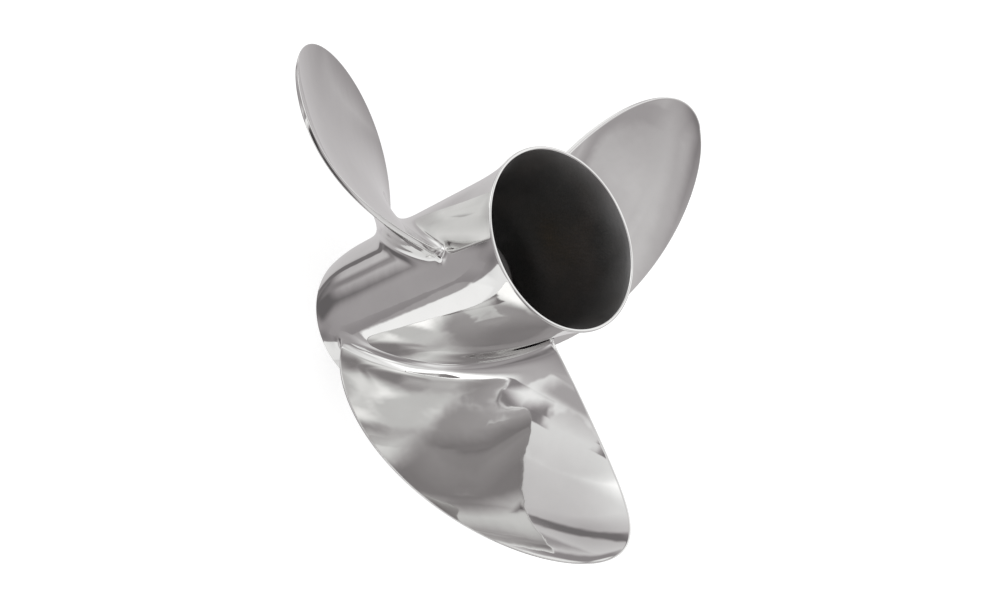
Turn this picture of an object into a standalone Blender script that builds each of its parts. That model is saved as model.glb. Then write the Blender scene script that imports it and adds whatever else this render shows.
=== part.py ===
"""Three-blade stainless steel boat propeller with its exhaust through the hub.

The real propeller is one investment casting (barrel, blades, ribs and inner hub) with a
separate drive sleeve and a splined adapter pushed into its middle. Here the casting is parted
where its members meet, with a hairline gap, so that each member is a solid of its own.

The propeller stands on the front end of its barrel. The shaft axis is +Z, pointing aft to the
flared exhaust mouth, and the origin is the centre of the front end. The propeller is
right-handed: seen from aft it turns clockwise. Blade 1 has the middle of its root at +X.
"""

import math

import bmesh
import bpy

MM = 0.001

# Barrel: a slightly tapered tube, open at both ends and flared at the exhaust mouth
BARREL_LENGTH = 200 * MM
BARREL_FRONT_RADIUS = 54.5 * MM
BARREL_AFT_RADIUS = 56.8 * MM
NOSE_LENGTH = 27 * MM
NOSE_DROP = 2.7 * MM
FRONT_EDGE_ROUND = 0.8 * MM
FLARE_LENGTH = 26 * MM
MOUTH_OUTER_RADIUS = 61.6 * MM
MOUTH_INNER_RADIUS = 59.3 * MM
PASSAGE_RADIUS = 49 * MM
PASSAGE_AFT_RADIUS = 53.2 * MM
PASSAGE_STRAIGHT_LENGTH = 116 * MM
PASSAGE_CHAMFER = 0.5 * MM
PASSAGE_BELL_RADIUS = 55.8 * MM
PASSAGE_BELL_DEPTH = 11.7 * MM

# Blades: every station lies between the root cylinder (0) and the tip (1)
BLADE_COUNT = 3
TIP_RADIUS = 203.2 * MM
ROOT_RADIUS = 57 * MM
ROOT_MIDDLE_Z = 84.7 * MM
ROOT_PITCH = 485 * MM
PITCH_RISE = 35 * MM
ROOT_HALF_ANGLE = math.radians(45.6)
HALF_ANGLE_LOSS = math.radians(7.7)
TIP_SKEW = math.radians(17.5)
SKEW_GROWTH = 1.41
RAKE_SLOPE = 63 * MM
RAKE_KICK = 33 * MM

# Blade sections: thickness on either side of a hollowed middle surface
ROOT_THICKNESS = 11.5 * MM
TIP_THICKNESS = 2.2 * MM
THICKNESS_FALL = 1.35
LEADING_EDGE_THICKNESS = 1.8 * MM
TRAILING_EDGE_THICKNESS = 3.2 * MM
EDGE_ROUND = 0.9 * MM
BODY_REACH = 12 * MM
CAMBER = 5.0 * MM
CUP_DEPTH = 2.0 * MM
CUP_REACH = 8 * MM
TIP_FADE_START = 0.85
TIP_FADE = 0.7

# Root fillets, on the faces of a blade and round its two edges
PRESSURE_FILLET = 11 * MM
SUCTION_FILLET = 5 * MM
EDGE_FILLET = 7 * MM
FILLET_STEPS = 4
CASTING_GAP = 0.45 * MM

# Inner hub and the ribs that carry it
HUB_RADIUS = 34 * MM
HUB_FRONT_Z = 5 * MM
HUB_LENGTH = 107 * MM
HUB_EDGE_ROUND = 1.5 * MM
HUB_BORE_ACROSS_FLATS = 43 * MM
HUB_BORE_CORNER = 9 * MM
RIB_THICKNESS = 5.5 * MM
RIB_FRONT_Z = 14 * MM
RIB_LENGTH = 86 * MM
RIB_EDGE_ROUND = 1.2 * MM
RIB_OUTER_GAP = 0.4 * MM
FIRST_RIB_ANGLE = math.radians(60)

# Drive sleeve and splined adapter, which carry the shaft's torque to the inner hub
SLEEVE_LENGTH = 96 * MM
SLEEVE_BORE_RADIUS = 16 * MM
ADAPTER_FRONT_Z = 8 * MM
ADAPTER_LENGTH = 108 * MM
SPLINE_TEETH = 15
SPLINE_ROOT_RADIUS = 12.7 * MM
SPLINE_CREST_RADIUS = 11.2 * MM
SPLINE_CREST_SHARE = 0.35
SPLINE_FLANK_SHARE = 0.15
ADAPTER_EDGE = 0.8 * MM
FIT_GAP = 0.3 * MM
CUTTER_OVERRUN = 10 * MM

# Fineness of the faceted solids
BARREL_STEPS = 72
HUB_STEPS = 48
CHORD_STEPS = 22
EDGE_ZONE = 0.02
EDGE_ROW = 0.006
LANDING_STEP = 0.01
SPAN_STEPS = 12
ROOT_CAP_STEPS = 6
FLARE_POINTS = 6
NOSE_POINTS = 5

STAINLESS = (0.62, 0.61, 0.60, 1.0)
RAW_CASTING = (0.09, 0.085, 0.08, 1.0)
SLEEVE_POLYMER = (0.05, 0.055, 0.06, 1.0)
BRASS = (0.62, 0.45, 0.20, 1.0)


def clear_scene():
    """Remove every object the scene starts with."""
    for item in list(bpy.data.objects):
        bpy.data.objects.remove(item, do_unlink=True)


def new_collection(name):
    """Make a collection and link it to the scene."""
    collection = bpy.data.collections.new(name)
    bpy.context.scene.collection.children.link(collection)
    return collection


def metal(name, colour, roughness, metallic=1.0):
    """Make a Principled material."""
    material = bpy.data.materials.new(name)
    material.use_nodes = True
    shader = material.node_tree.nodes["Principled BSDF"]
    shader.inputs["Base Color"].default_value = colour
    shader.inputs["Roughness"].default_value = roughness
    shader.inputs["Metallic"].default_value = metallic
    return material


def smooth_round(mesh, sharp_degrees=35):
    """Shade a mesh smooth, keeping its real corners sharp."""
    mesh.shade_smooth()
    mesh.set_sharp_from_angle(angle=math.radians(sharp_degrees))


def add_object(name, mesh, material, collection):
    """Put a mesh in the scene as a named object with its own material."""
    mesh.materials.append(material)
    item = bpy.data.objects.new(name, mesh)
    collection.objects.link(item)
    return item


def turned(name, profile, steps, material, collection):
    """Turn a closed profile of (radius, z) points, outer side first and downwards."""
    mesh = bpy.data.meshes.new(name)
    count = len(profile)
    points = [(radius, 0.0, z) for radius, z in profile]
    edges = [(index, (index + 1) % count) for index in range(count)]
    mesh.from_pydata(points, edges, [])
    item = add_object(name, mesh, material, collection)
    screw = item.modifiers.new("turn", "SCREW")
    screw.steps = steps
    screw.render_steps = steps
    screw.use_merge_vertices = True
    screw.merge_threshold = 0.00001
    screw.use_smooth_shade = True
    return item


def cut(item, cutter):
    """Cut one object out of another."""
    boolean = item.modifiers.new("cut", "BOOLEAN")
    boolean.operation = "DIFFERENCE"
    boolean.solver = "EXACT"
    boolean.object = cutter


def cutter_object(name, mesh, collection):
    """Put a mesh in the scene as a cutter."""
    item = bpy.data.objects.new(name, mesh)
    collection.objects.link(item)
    item.display_type = "WIRE"
    item.hide_render = True
    return item


def arc(centre, radius, start_degrees, end_degrees, steps):
    """Points along an arc in the (radius, z) plane."""
    points = []
    for index in range(steps + 1):
        angle = math.radians(start_degrees + (end_degrees - start_degrees) * index / steps)
        points.append((centre[0] + radius * math.cos(angle), centre[1] + radius * math.sin(angle)))
    return points


def barrel_radius(z):
    """Outer radius of the barrel at a height: a drawn-in nose, a plain taper and the flare."""
    radius = BARREL_FRONT_RADIUS + (BARREL_AFT_RADIUS - BARREL_FRONT_RADIUS) * z / BARREL_LENGTH
    into_nose = max(0.0, 1 - z / NOSE_LENGTH)
    into_flare = max(0.0, (z - (BARREL_LENGTH - FLARE_LENGTH)) / FLARE_LENGTH)
    flare = (MOUTH_OUTER_RADIUS - BARREL_AFT_RADIUS) * into_flare ** 2
    return radius + flare - NOSE_DROP * into_nose ** 2


def barrel_profile():
    """Closed outline of the barrel's wall, outer side first and downwards."""
    lip_round = 0.5 * (MOUTH_OUTER_RADIUS - MOUTH_INNER_RADIUS)
    lip_centre = (MOUTH_INNER_RADIUS + lip_round, BARREL_LENGTH - lip_round)
    lip = arc(lip_centre, lip_round, 150, 10, 4)
    flare_start = BARREL_LENGTH - FLARE_LENGTH
    flare_end = BARREL_LENGTH - 2 * lip_round
    flare = []
    for index in range(FLARE_POINTS):
        z = flare_end + (flare_start - flare_end) * index / (FLARE_POINTS - 1)
        flare.append((barrel_radius(z), z))
    nose = []
    for index in range(NOSE_POINTS):
        z = NOSE_LENGTH * (1 - index / NOSE_POINTS)
        nose.append((barrel_radius(z), z))
    edge_centre = (barrel_radius(FRONT_EDGE_ROUND) - FRONT_EDGE_ROUND, FRONT_EDGE_ROUND)
    front_edge = arc(edge_centre, FRONT_EDGE_ROUND, 0, -90, 2)
    inside = [
        (PASSAGE_RADIUS + PASSAGE_CHAMFER, 0.0),
        (PASSAGE_RADIUS, PASSAGE_CHAMFER),
        (PASSAGE_RADIUS, PASSAGE_STRAIGHT_LENGTH),
        (PASSAGE_AFT_RADIUS, flare_start),
        (PASSAGE_BELL_RADIUS, BARREL_LENGTH - PASSAGE_BELL_DEPTH),
    ]
    return lip + flare + nose + front_edge + inside


def section(station):
    """Radius, skew, half angle, pitch and middle height of the blade at a station."""
    radius = ROOT_RADIUS + (TIP_RADIUS - ROOT_RADIUS) * station
    skew = TIP_SKEW * station ** SKEW_GROWTH
    half_angle = (ROOT_HALF_ANGLE - HALF_ANGLE_LOSS * station) * math.sqrt(1 - station)
    pitch = ROOT_PITCH + PITCH_RISE * station
    middle_z = ROOT_MIDDLE_Z + RAKE_SLOPE * station + RAKE_KICK * station ** 3
    return radius, skew, half_angle, pitch, middle_z


def outline_distance(station, across, half_chord):
    """Distance in from the blade's outline, for a place across the chord (-1 to 1)."""
    inside = (1 - station) * (1 - across * across)
    along_span = 1 / (TIP_RADIUS - ROOT_RADIUS)
    along_chord = 2 * across * (1 - station) / half_chord
    return inside / math.hypot(along_span, along_chord)


def ease(value):
    """Smooth step from 0 to 1."""
    value = min(1.0, max(0.0, value))
    return value * value * (3 - 2 * value)


def blade_point(station, across, side):
    """Cylindrical point (angle, z, radius) of a blade's skin.

    across runs from the leading edge (-1) to the trailing edge (1); side runs from 1 on the
    pressure face, which looks aft, to -1 on the suction face.
    """
    station = min(station, 1 - 1e-6)
    radius, skew, half_angle, pitch, middle_z = section(station)
    turn = 2 * math.pi * radius
    slant = math.hypot(pitch, turn)
    half_chord = half_angle * radius * slant / turn
    edge_distance = outline_distance(station, across, half_chord)

    near_tip = ease((station - TIP_FADE_START) / (1 - TIP_FADE_START))
    aft_share = ease(0.5 + 0.5 * across) * (1 - TIP_FADE * near_tip)
    edge = LEADING_EDGE_THICKNESS + (TRAILING_EDGE_THICKNESS - LEADING_EDGE_THICKNESS) * aft_share
    body = TIP_THICKNESS + (ROOT_THICKNESS - TIP_THICKNESS) * (1 - station) ** THICKNESS_FALL
    rounding = max(0.0, 1 - edge_distance / EDGE_ROUND)
    blunt = 0.5 * edge - EDGE_ROUND * (1 - math.sqrt(1 - rounding * rounding))
    swell = (1 - across * across) * ease(edge_distance / BODY_REACH)
    half_thickness = max(0.0, blunt) + 0.5 * body * swell

    hollow = CAMBER * (1 - across * across) * math.sqrt(1 - station)
    cup = CUP_DEPTH * aft_share * (1 - math.exp(-edge_distance / CUP_REACH))
    offset = side * half_thickness - hollow - cup

    angle = skew + half_angle * across - offset * pitch / slant / radius
    z = middle_z + pitch * half_angle * across / (2 * math.pi) + offset * turn / slant
    return angle, z, radius


def chord_places():
    """Places across the chord, from the leading edge (-1) to the trailing edge (1)."""
    inner = 1 - EDGE_ZONE
    middle = [-inner * math.cos(math.pi * index / CHORD_STEPS) for index in range(CHORD_STEPS + 1)]
    edge = [1 - EDGE_ROW, 1.0]
    return [-value for value in reversed(edge)] + middle + edge


def perimeter():
    """Places (across, side) round a blade section: leading edge, pressure face, back again."""
    values = chord_places()
    pressure = [(value, 1.0) for value in values]
    blunt = [(1.0, 0.0)]
    suction = [(value, -1.0) for value in reversed(values[1:])]
    return pressure + blunt + suction


def fillet_size(across, side):
    """Size of the root fillet at a place of the blade section."""
    face_fillet = PRESSURE_FILLET if side > 0 else SUCTION_FILLET
    return EDGE_FILLET + (face_fillet - EDGE_FILLET) * math.sqrt(max(0.0, 1 - across ** 4))


def unit(x, y):
    """Scale a plane vector to length one."""
    length = math.hypot(x, y)
    return x / length, y / length


def landing(across, side):
    """Where the fillet starts on the blade, and where the blade would run into the barrel."""
    size = fillet_size(across, side)
    start = size / (TIP_RADIUS - ROOT_RADIUS)
    top = blade_point(start, across, side)
    above = blade_point(start + LANDING_STEP, across, side)
    height = top[2] - barrel_radius(top[1])
    rise = (above[2] - barrel_radius(above[1])) - height
    run = height / rise
    corner = (top[0] - (above[0] - top[0]) * run, top[1] - (above[1] - top[1]) * run)
    return top, height, corner, size, start


def blade_rings(places):
    """Rings of (angle, z, radius) points from the foot of the fillet to the tip."""
    landings = [landing(across, side) for across, side in places]
    count = len(places)
    mean_radius = 0.5 * (BARREL_FRONT_RADIUS + BARREL_AFT_RADIUS)
    feet = []
    for index in range(count):
        before = landings[index - 1][2]
        corner = landings[index][2]
        after = landings[(index + 1) % count][2]
        into = unit((corner[0] - before[0]) * mean_radius, corner[1] - before[1])
        onward = unit((after[0] - corner[0]) * mean_radius, after[1] - corner[1])
        along = unit(into[0] + onward[0], into[1] + onward[1])
        outward = (-along[1], along[0])
        size = landings[index][3]
        feet.append((corner[0] + outward[0] * size / mean_radius, corner[1] + outward[1] * size))

    rings = []
    weight = math.sqrt(0.5)
    for step in range(FILLET_STEPS + 1):
        share = step / FILLET_STEPS
        parts = ((1 - share) ** 2, 2 * weight * share * (1 - share), share ** 2)
        total = sum(parts)
        ring = []
        for foot, (top, height, corner, _size, _start) in zip(feet, landings):
            angle = (parts[0] * foot[0] + parts[1] * corner[0] + parts[2] * top[0]) / total
            z = (parts[0] * foot[1] + parts[1] * corner[1] + parts[2] * top[1]) / total
            lift = parts[2] * height / total
            ring.append((angle, z, barrel_radius(z) + CASTING_GAP + lift * (1 - CASTING_GAP / height)))
        rings.append(ring)
    for step in range(1, SPAN_STEPS):
        share = math.sin(0.5 * math.pi * step / SPAN_STEPS)
        ring = []
        for (across, side), (_top, _height, _corner, _size, start) in zip(places, landings):
            ring.append(blade_point(start + (1 - start) * share, across, side))
        rings.append(ring)
    return rings


def to_space(point):
    """Turn a cylindrical (angle, z, radius) point into x, y, z."""
    angle, z, radius = point
    return radius * math.cos(angle), radius * math.sin(angle), z


def blade_mesh():
    """Loft one blade from the foot of its fillet to its tip, closed at both ends."""
    places = perimeter()
    rings = blade_rings(places)
    count = len(places)
    shape = bmesh.new()
    grid = [[shape.verts.new(to_space(point)) for point in ring] for ring in rings]
    for lower, upper in zip(grid, grid[1:]):
        for index in range(count):
            after = (index + 1) % count
            shape.faces.new((lower[index], lower[after], upper[after], upper[index]))
    tip = shape.verts.new(to_space(blade_point(1.0, 0.0, 1)))
    for index in range(count):
        shape.faces.new((grid[-1][index], grid[-1][(index + 1) % count], tip))

    foot = rings[0]
    columns = []
    for index in range(1, (count - 1) // 2 + 1):
        pressure = foot[index]
        suction = foot[count - index]
        column = [grid[0][index]]
        for step in range(1, ROOT_CAP_STEPS):
            share = step / ROOT_CAP_STEPS
            angle = pressure[0] + (suction[0] - pressure[0]) * share
            z = pressure[1] + (suction[1] - pressure[1]) * share
            column.append(shape.verts.new(to_space((angle, z, barrel_radius(z) + CASTING_GAP))))
        column.append(grid[0][count - index])
        columns.append(column)
    for left, right in zip(columns, columns[1:]):
        for step in range(ROOT_CAP_STEPS):
            shape.faces.new((left[step], left[step + 1], right[step]))
            shape.faces.new((left[step + 1], right[step + 1], right[step]))
    fans = ((grid[0][0], columns[0]), (grid[0][(count - 1) // 2 + 1], columns[-1]))
    for corner, column in fans:
        for step in range(ROOT_CAP_STEPS):
            shape.faces.new((corner, column[step], column[step + 1]))

    bmesh.ops.triangulate(shape, faces=shape.faces[:])
    bmesh.ops.recalc_face_normals(shape, faces=shape.faces[:])
    mesh = bpy.data.meshes.new("blade")
    shape.to_mesh(mesh)
    shape.free()
    smooth_round(mesh)
    return mesh


def rounded_prism(name, across_flats, corner, low_z, high_z):
    """Square prism with rounded upright edges, centred on the axis."""
    shape = bmesh.new()
    bmesh.ops.create_cube(shape, size=1.0)
    for vert in shape.verts:
        vert.co.x *= across_flats
        vert.co.y *= across_flats
        vert.co.z = low_z if vert.co.z < 0 else high_z
    upright = [edge for edge in shape.edges if abs(edge.verts[0].co.z - edge.verts[1].co.z) > 1e-6]
    bmesh.ops.bevel(shape, geom=upright, offset=corner, segments=6, profile=0.5, affect="EDGES")
    mesh = bpy.data.meshes.new(name)
    shape.to_mesh(mesh)
    shape.free()
    return mesh


def spline_prism(name, low_z, high_z):
    """Prism with the outline of the splined shaft."""
    outline = []
    for tooth in range(SPLINE_TEETH):
        for share, radius in (
            (0.0, SPLINE_CREST_RADIUS),
            (SPLINE_CREST_SHARE, SPLINE_CREST_RADIUS),
            (SPLINE_CREST_SHARE + SPLINE_FLANK_SHARE, SPLINE_ROOT_RADIUS),
            (1 - SPLINE_FLANK_SHARE, SPLINE_ROOT_RADIUS),
        ):
            angle = 2 * math.pi * (tooth + share) / SPLINE_TEETH
            outline.append((radius * math.cos(angle), radius * math.sin(angle)))
    shape = bmesh.new()
    floor = shape.faces.new([shape.verts.new((x, y, low_z)) for x, y in outline])
    raised = bmesh.ops.extrude_face_region(shape, geom=[floor])
    for item in raised["geom"]:
        if isinstance(item, bmesh.types.BMVert):
            item.co.z = high_z
    bmesh.ops.recalc_face_normals(shape, faces=shape.faces[:])
    mesh = bpy.data.meshes.new(name)
    shape.to_mesh(mesh)
    shape.free()
    return mesh


def cylinder_mesh(name, radius, low_z, high_z, steps):
    """Closed upright cylinder on the axis."""
    shape = bmesh.new()
    bmesh.ops.create_cone(
        shape, cap_ends=True, segments=steps, radius1=radius, radius2=radius, depth=high_z - low_z
    )
    bmesh.ops.translate(shape, verts=shape.verts, vec=(0, 0, 0.5 * (low_z + high_z)))
    mesh = bpy.data.meshes.new(name)
    shape.to_mesh(mesh)
    shape.free()
    return mesh


def add_bevel(item, width, segments=2):
    """Round the sharp edges of an object."""
    bevel = item.modifiers.new("edge", "BEVEL")
    bevel.width = width
    bevel.segments = segments
    bevel.limit_method = "ANGLE"
    bevel.angle_limit = math.radians(50)


def build_barrel(collection):
    """The outer tube that carries the blades."""
    finish = metal("polished_barrel", STAINLESS, 0.08)
    return turned("hub_barrel", barrel_profile(), BARREL_STEPS, finish, collection)


def build_blades(collection):
    """Three equal blades, evenly spaced."""
    finish = metal("polished_blade", STAINLESS, 0.08)
    mesh = blade_mesh()
    for index in range(BLADE_COUNT):
        blade = bpy.data.objects.new(f"blade_{index + 1}", mesh)
        blade.rotation_euler.z = 2 * math.pi * index / BLADE_COUNT
        collection.objects.link(blade)
    mesh.materials.append(finish)


def build_inner_hub(collection, cutters):
    """The thick inner tube, with a square bore for the drive sleeve."""
    finish = metal("cast_inner_hub", RAW_CASTING, 0.5)
    top = HUB_FRONT_Z + HUB_LENGTH
    mesh = cylinder_mesh("inner_hub", HUB_RADIUS, HUB_FRONT_Z, top, HUB_STEPS)
    hub = add_object("inner_hub", mesh, finish, collection)
    add_bevel(hub, HUB_EDGE_ROUND)
    bore = rounded_prism(
        "hub_bore", HUB_BORE_ACROSS_FLATS, HUB_BORE_CORNER, -CUTTER_OVERRUN, top + CUTTER_OVERRUN
    )
    cut(hub, cutter_object("hub_bore", bore, cutters))
    return hub


def build_ribs(collection):
    """Three radial ribs between the inner hub and the barrel."""
    finish = metal("cast_rib", RAW_CASTING, 0.5)
    inner = HUB_RADIUS + FIT_GAP
    outer = PASSAGE_RADIUS - RIB_OUTER_GAP
    for index in range(BLADE_COUNT):
        name = f"rib_{index + 1}"
        shape = bmesh.new()
        bmesh.ops.create_cube(shape, size=1.0)
        for vert in shape.verts:
            vert.co.x = inner if vert.co.x < 0 else outer
            vert.co.y *= RIB_THICKNESS
            vert.co.z = RIB_FRONT_Z if vert.co.z < 0 else RIB_FRONT_Z + RIB_LENGTH
        crosswise = [edge for edge in shape.edges if abs(edge.verts[0].co.x - edge.verts[1].co.x) > 1e-6]
        bmesh.ops.bevel(
            shape, geom=crosswise, offset=RIB_EDGE_ROUND, segments=3, profile=0.5, affect="EDGES"
        )
        mesh = bpy.data.meshes.new(name)
        shape.to_mesh(mesh)
        shape.free()
        rib = add_object(name, mesh, finish, collection)
        rib.rotation_euler.z = FIRST_RIB_ANGLE + 2 * math.pi * index / BLADE_COUNT


def build_drive_sleeve(collection, cutters):
    """The flanged polymer sleeve that fills the square bore."""
    finish = metal("sleeve_polymer", SLEEVE_POLYMER, 0.45, metallic=0.0)
    low = HUB_FRONT_Z + HUB_LENGTH - SLEEVE_LENGTH
    high = HUB_FRONT_Z + HUB_LENGTH - 2 * FIT_GAP
    mesh = rounded_prism(
        "drive_sleeve", HUB_BORE_ACROSS_FLATS - 2 * FIT_GAP, HUB_BORE_CORNER - FIT_GAP, low, high
    )
    sleeve = add_object("drive_sleeve", mesh, finish, collection)
    bore = cylinder_mesh(
        "sleeve_bore", SLEEVE_BORE_RADIUS, -CUTTER_OVERRUN, high + CUTTER_OVERRUN, HUB_STEPS
    )
    cut(sleeve, cutter_object("sleeve_bore", bore, cutters))
    return sleeve


def build_adapter(collection, cutters):
    """The brass adapter with the splined bore that slides on the shaft."""
    finish = metal("adapter_brass", BRASS, 0.3)
    low = ADAPTER_FRONT_Z
    high = ADAPTER_FRONT_Z + ADAPTER_LENGTH
    radius = SLEEVE_BORE_RADIUS - FIT_GAP
    mesh = cylinder_mesh("splined_adapter", radius, low, high, HUB_STEPS)
    adapter = add_object("splined_adapter", mesh, finish, collection)
    add_bevel(adapter, ADAPTER_EDGE, 1)
    spline = spline_prism("shaft_spline", low - CUTTER_OVERRUN, high + CUTTER_OVERRUN)
    cut(adapter, cutter_object("shaft_spline", spline, cutters))
    return adapter


def main():
    """Build the propeller."""
    clear_scene()
    propeller = new_collection("boat_propeller")
    cutters = new_collection("cutters")
    build_barrel(propeller)
    build_blades(propeller)
    build_inner_hub(propeller, cutters)
    build_ribs(propeller)
    build_drive_sleeve(propeller, cutters)
    build_adapter(propeller, cutters)


main()
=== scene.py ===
"""Mirror-polished stainless steel boat propeller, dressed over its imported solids.

The propeller stands on the front end of its barrel, with the shaft axis along +Z and the
middle of blade 1's root at +X. The real propeller is one casting, so its barrel and blades
are one seamless skin here, and its inner hub and ribs are dressed as the same casting left
dark and unpolished. The drive sleeve and the splined adapter fill the hub.
"""

import logging
import math
from dataclasses import dataclass, field
from enum import Enum

import bmesh
import bpy
import numpy as np
from mathutils import Matrix, Vector
from mathutils.geometry import delaunay_2d_cdt


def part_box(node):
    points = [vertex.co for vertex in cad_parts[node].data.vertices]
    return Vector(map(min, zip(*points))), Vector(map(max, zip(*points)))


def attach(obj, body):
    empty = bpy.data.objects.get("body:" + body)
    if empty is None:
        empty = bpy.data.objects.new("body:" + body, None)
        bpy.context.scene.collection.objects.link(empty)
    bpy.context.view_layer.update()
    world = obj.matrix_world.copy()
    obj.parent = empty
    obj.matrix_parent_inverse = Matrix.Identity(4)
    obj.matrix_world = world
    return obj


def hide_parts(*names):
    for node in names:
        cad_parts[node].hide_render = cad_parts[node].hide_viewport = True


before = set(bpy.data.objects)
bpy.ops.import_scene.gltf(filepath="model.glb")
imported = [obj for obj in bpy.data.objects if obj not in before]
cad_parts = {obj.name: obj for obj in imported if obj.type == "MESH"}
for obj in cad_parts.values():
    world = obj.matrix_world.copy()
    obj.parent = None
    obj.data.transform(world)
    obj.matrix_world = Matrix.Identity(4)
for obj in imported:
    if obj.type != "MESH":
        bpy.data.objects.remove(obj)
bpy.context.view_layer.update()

MM = 0.001
BODY = "root"
BLADE_COUNT = 3
SECTOR = 2 * math.pi / BLADE_COUNT

log = logging.getLogger("propeller")


class Slot(Enum):
    """Material slots of the record."""

    STEEL = "polished_steel"
    CASTING = "dark_casting"
    POLYMER = "sleeve_polymer"
    BRASS = "adapter_brass"


class Coat(Enum):
    """Which of its piece's finishes a face carries."""

    OUTSIDE = 0
    INSIDE = 1


def ease(value: np.ndarray) -> np.ndarray:
    """Smooth step from 0 to 1."""
    value = np.clip(value, 0.0, 1.0)
    return value * value * (3 - 2 * value)


def reach(node: str) -> float:
    """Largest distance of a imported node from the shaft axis."""
    return max(math.hypot(vertex.co.x, vertex.co.y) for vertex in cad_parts[node].data.vertices)


def ends(node: str) -> tuple[float, float]:
    """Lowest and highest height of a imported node."""
    low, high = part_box(node)
    return low.z, high.z


def to_space(angle: np.ndarray, height: np.ndarray, radius: np.ndarray) -> np.ndarray:
    """Turn cylindrical places into points.

    Args:
        angle: Angles about the shaft axis, in radians.
        height: Heights along the axis.
        radius: Distances from the axis.

    Returns:
        An array of x, y, z rows.
    """
    angle, height, radius = np.broadcast_arrays(angle, height, radius)
    return np.column_stack([radius * np.cos(angle), radius * np.sin(angle), height])


def turned_about_axis(points: np.ndarray, angle: float) -> np.ndarray:
    """Rotate rows of x, y, z about the shaft axis."""
    cosine, sine = math.cos(angle), math.sin(angle)
    return points @ np.array([[cosine, sine, 0.0], [-sine, cosine, 0.0], [0.0, 0.0, 1.0]])


def arc(centre: tuple[float, float], radius: float, start: float, end: float, steps: int) -> list:
    """Points along an arc in the (radius, height) plane.

    Args:
        centre: Centre of the arc.
        radius: Radius of the arc.
        start: First angle in degrees, counted from the outward direction towards +Z.
        end: Last angle in degrees.
        steps: Number of steps between the two.

    Returns:
        A list of (radius, height) pairs.
    """
    angles = np.radians(np.linspace(start, end, steps + 1))
    return [(centre[0] + radius * math.cos(a), centre[1] + radius * math.sin(a)) for a in angles]


class Skin:
    """Points and faces of one closed mesh, gathered ring by ring."""

    def __init__(self) -> None:
        """Start with no points."""
        self.points: list[np.ndarray] = []
        self.normals: list[np.ndarray] = []
        self.faces: list[tuple[int, ...]] = []
        self.coats: list[int] = []
        self.count = 0

    def add(self, points: np.ndarray, normals: np.ndarray | None = None) -> np.ndarray:
        """Add points.

        Args:
            points: Rows of x, y, z.
            normals: Exact normals of a surface that is known by formula, if it is.

        Returns:
            The indices of the new points.
        """
        if normals is None:
            normals = np.full(points.shape, np.nan)
        self.points.append(points)
        self.normals.append(normals)
        first = self.count
        self.count += len(points)
        return np.arange(first, self.count)

    def strip(self, lower: np.ndarray, upper: np.ndarray, coat: Coat = Coat.OUTSIDE) -> None:
        """Join two rings with quads that face right of the way from lower to upper.

        Args:
            lower: Point indices of one closed ring.
            upper: Point indices of the next ring, in the same order.
            coat: The finish of the faces.
        """
        rows = zip(lower, np.roll(lower, -1), np.roll(upper, -1), upper)
        self.faces.extend(tuple(int(index) for index in row) for row in rows)
        self.coats.extend([coat.value] * len(lower))

    def stack(self, ring: np.ndarray, following: list[np.ndarray], coat: Coat = Coat.OUTSIDE) -> np.ndarray:
        """Join a ring to the rings after it, one by one.

        Args:
            ring: Point indices of the first ring.
            following: Point indices of each ring after it, all in the same order.
            coat: The finish of the faces.

        Returns:
            The last ring.
        """
        for upper in following:
            self.strip(ring, upper, coat)
            ring = upper
        return ring

    def wall(self, outline: list[tuple[np.ndarray, float]]) -> None:
        """Add a closed wall round the shaft axis.

        Args:
            outline: Rings as (radii round the axis, height), up the outside and down the inside.
        """
        rings = []
        for radii, height in outline:
            angles = np.linspace(0, 2 * math.pi, len(radii), endpoint=False)
            rings.append(self.add(to_space(angles, np.full(len(radii), height), radii)))
        self.stack(rings[0], rings[1:] + rings[:1])

    def fan(self, ring: np.ndarray, tip: int) -> None:
        """Close a ring with triangles that meet in one point."""
        self.faces.extend((int(a), int(tip), int(b)) for a, b in zip(ring, np.roll(ring, -1)))
        self.coats.extend([Coat.OUTSIDE.value] * len(ring))

    def triangles(self, corners: np.ndarray) -> None:
        """Add triangles given as rows of three point indices."""
        self.faces.extend(tuple(int(index) for index in row) for row in corners)
        self.coats.extend([Coat.OUTSIDE.value] * len(corners))

    def to_object(self, name: str, materials: list[bpy.types.Material]) -> bpy.types.Object:
        """Make the mesh, shade it smooth and set the exact normals.

        Args:
            name: Name of the object and its mesh.
            materials: The finishes, in the order of Coat.

        Returns:
            The new object, linked to the scene.
        """
        mesh = bpy.data.meshes.new(name)
        mesh.from_pydata(np.vstack(self.points).tolist(), [], self.faces)
        for material in materials:
            mesh.materials.append(material)
        mesh.polygons.foreach_set("material_index", self.coats)
        mesh.shade_smooth()
        mesh.update()
        exact = np.vstack(self.normals)
        known = ~np.isnan(exact[:, 0])
        if known.any():
            normals = np.zeros(len(exact) * 3, np.float32)
            mesh.vertex_normals.foreach_get("vector", normals)
            normals = normals.reshape(-1, 3).astype(float)
            normals[known] = exact[known]
            mesh.normals_split_custom_set_from_vertices(normals.tolist())
        item = bpy.data.objects.new(name, mesh)
        bpy.context.scene.collection.objects.link(item)
        return item


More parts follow.
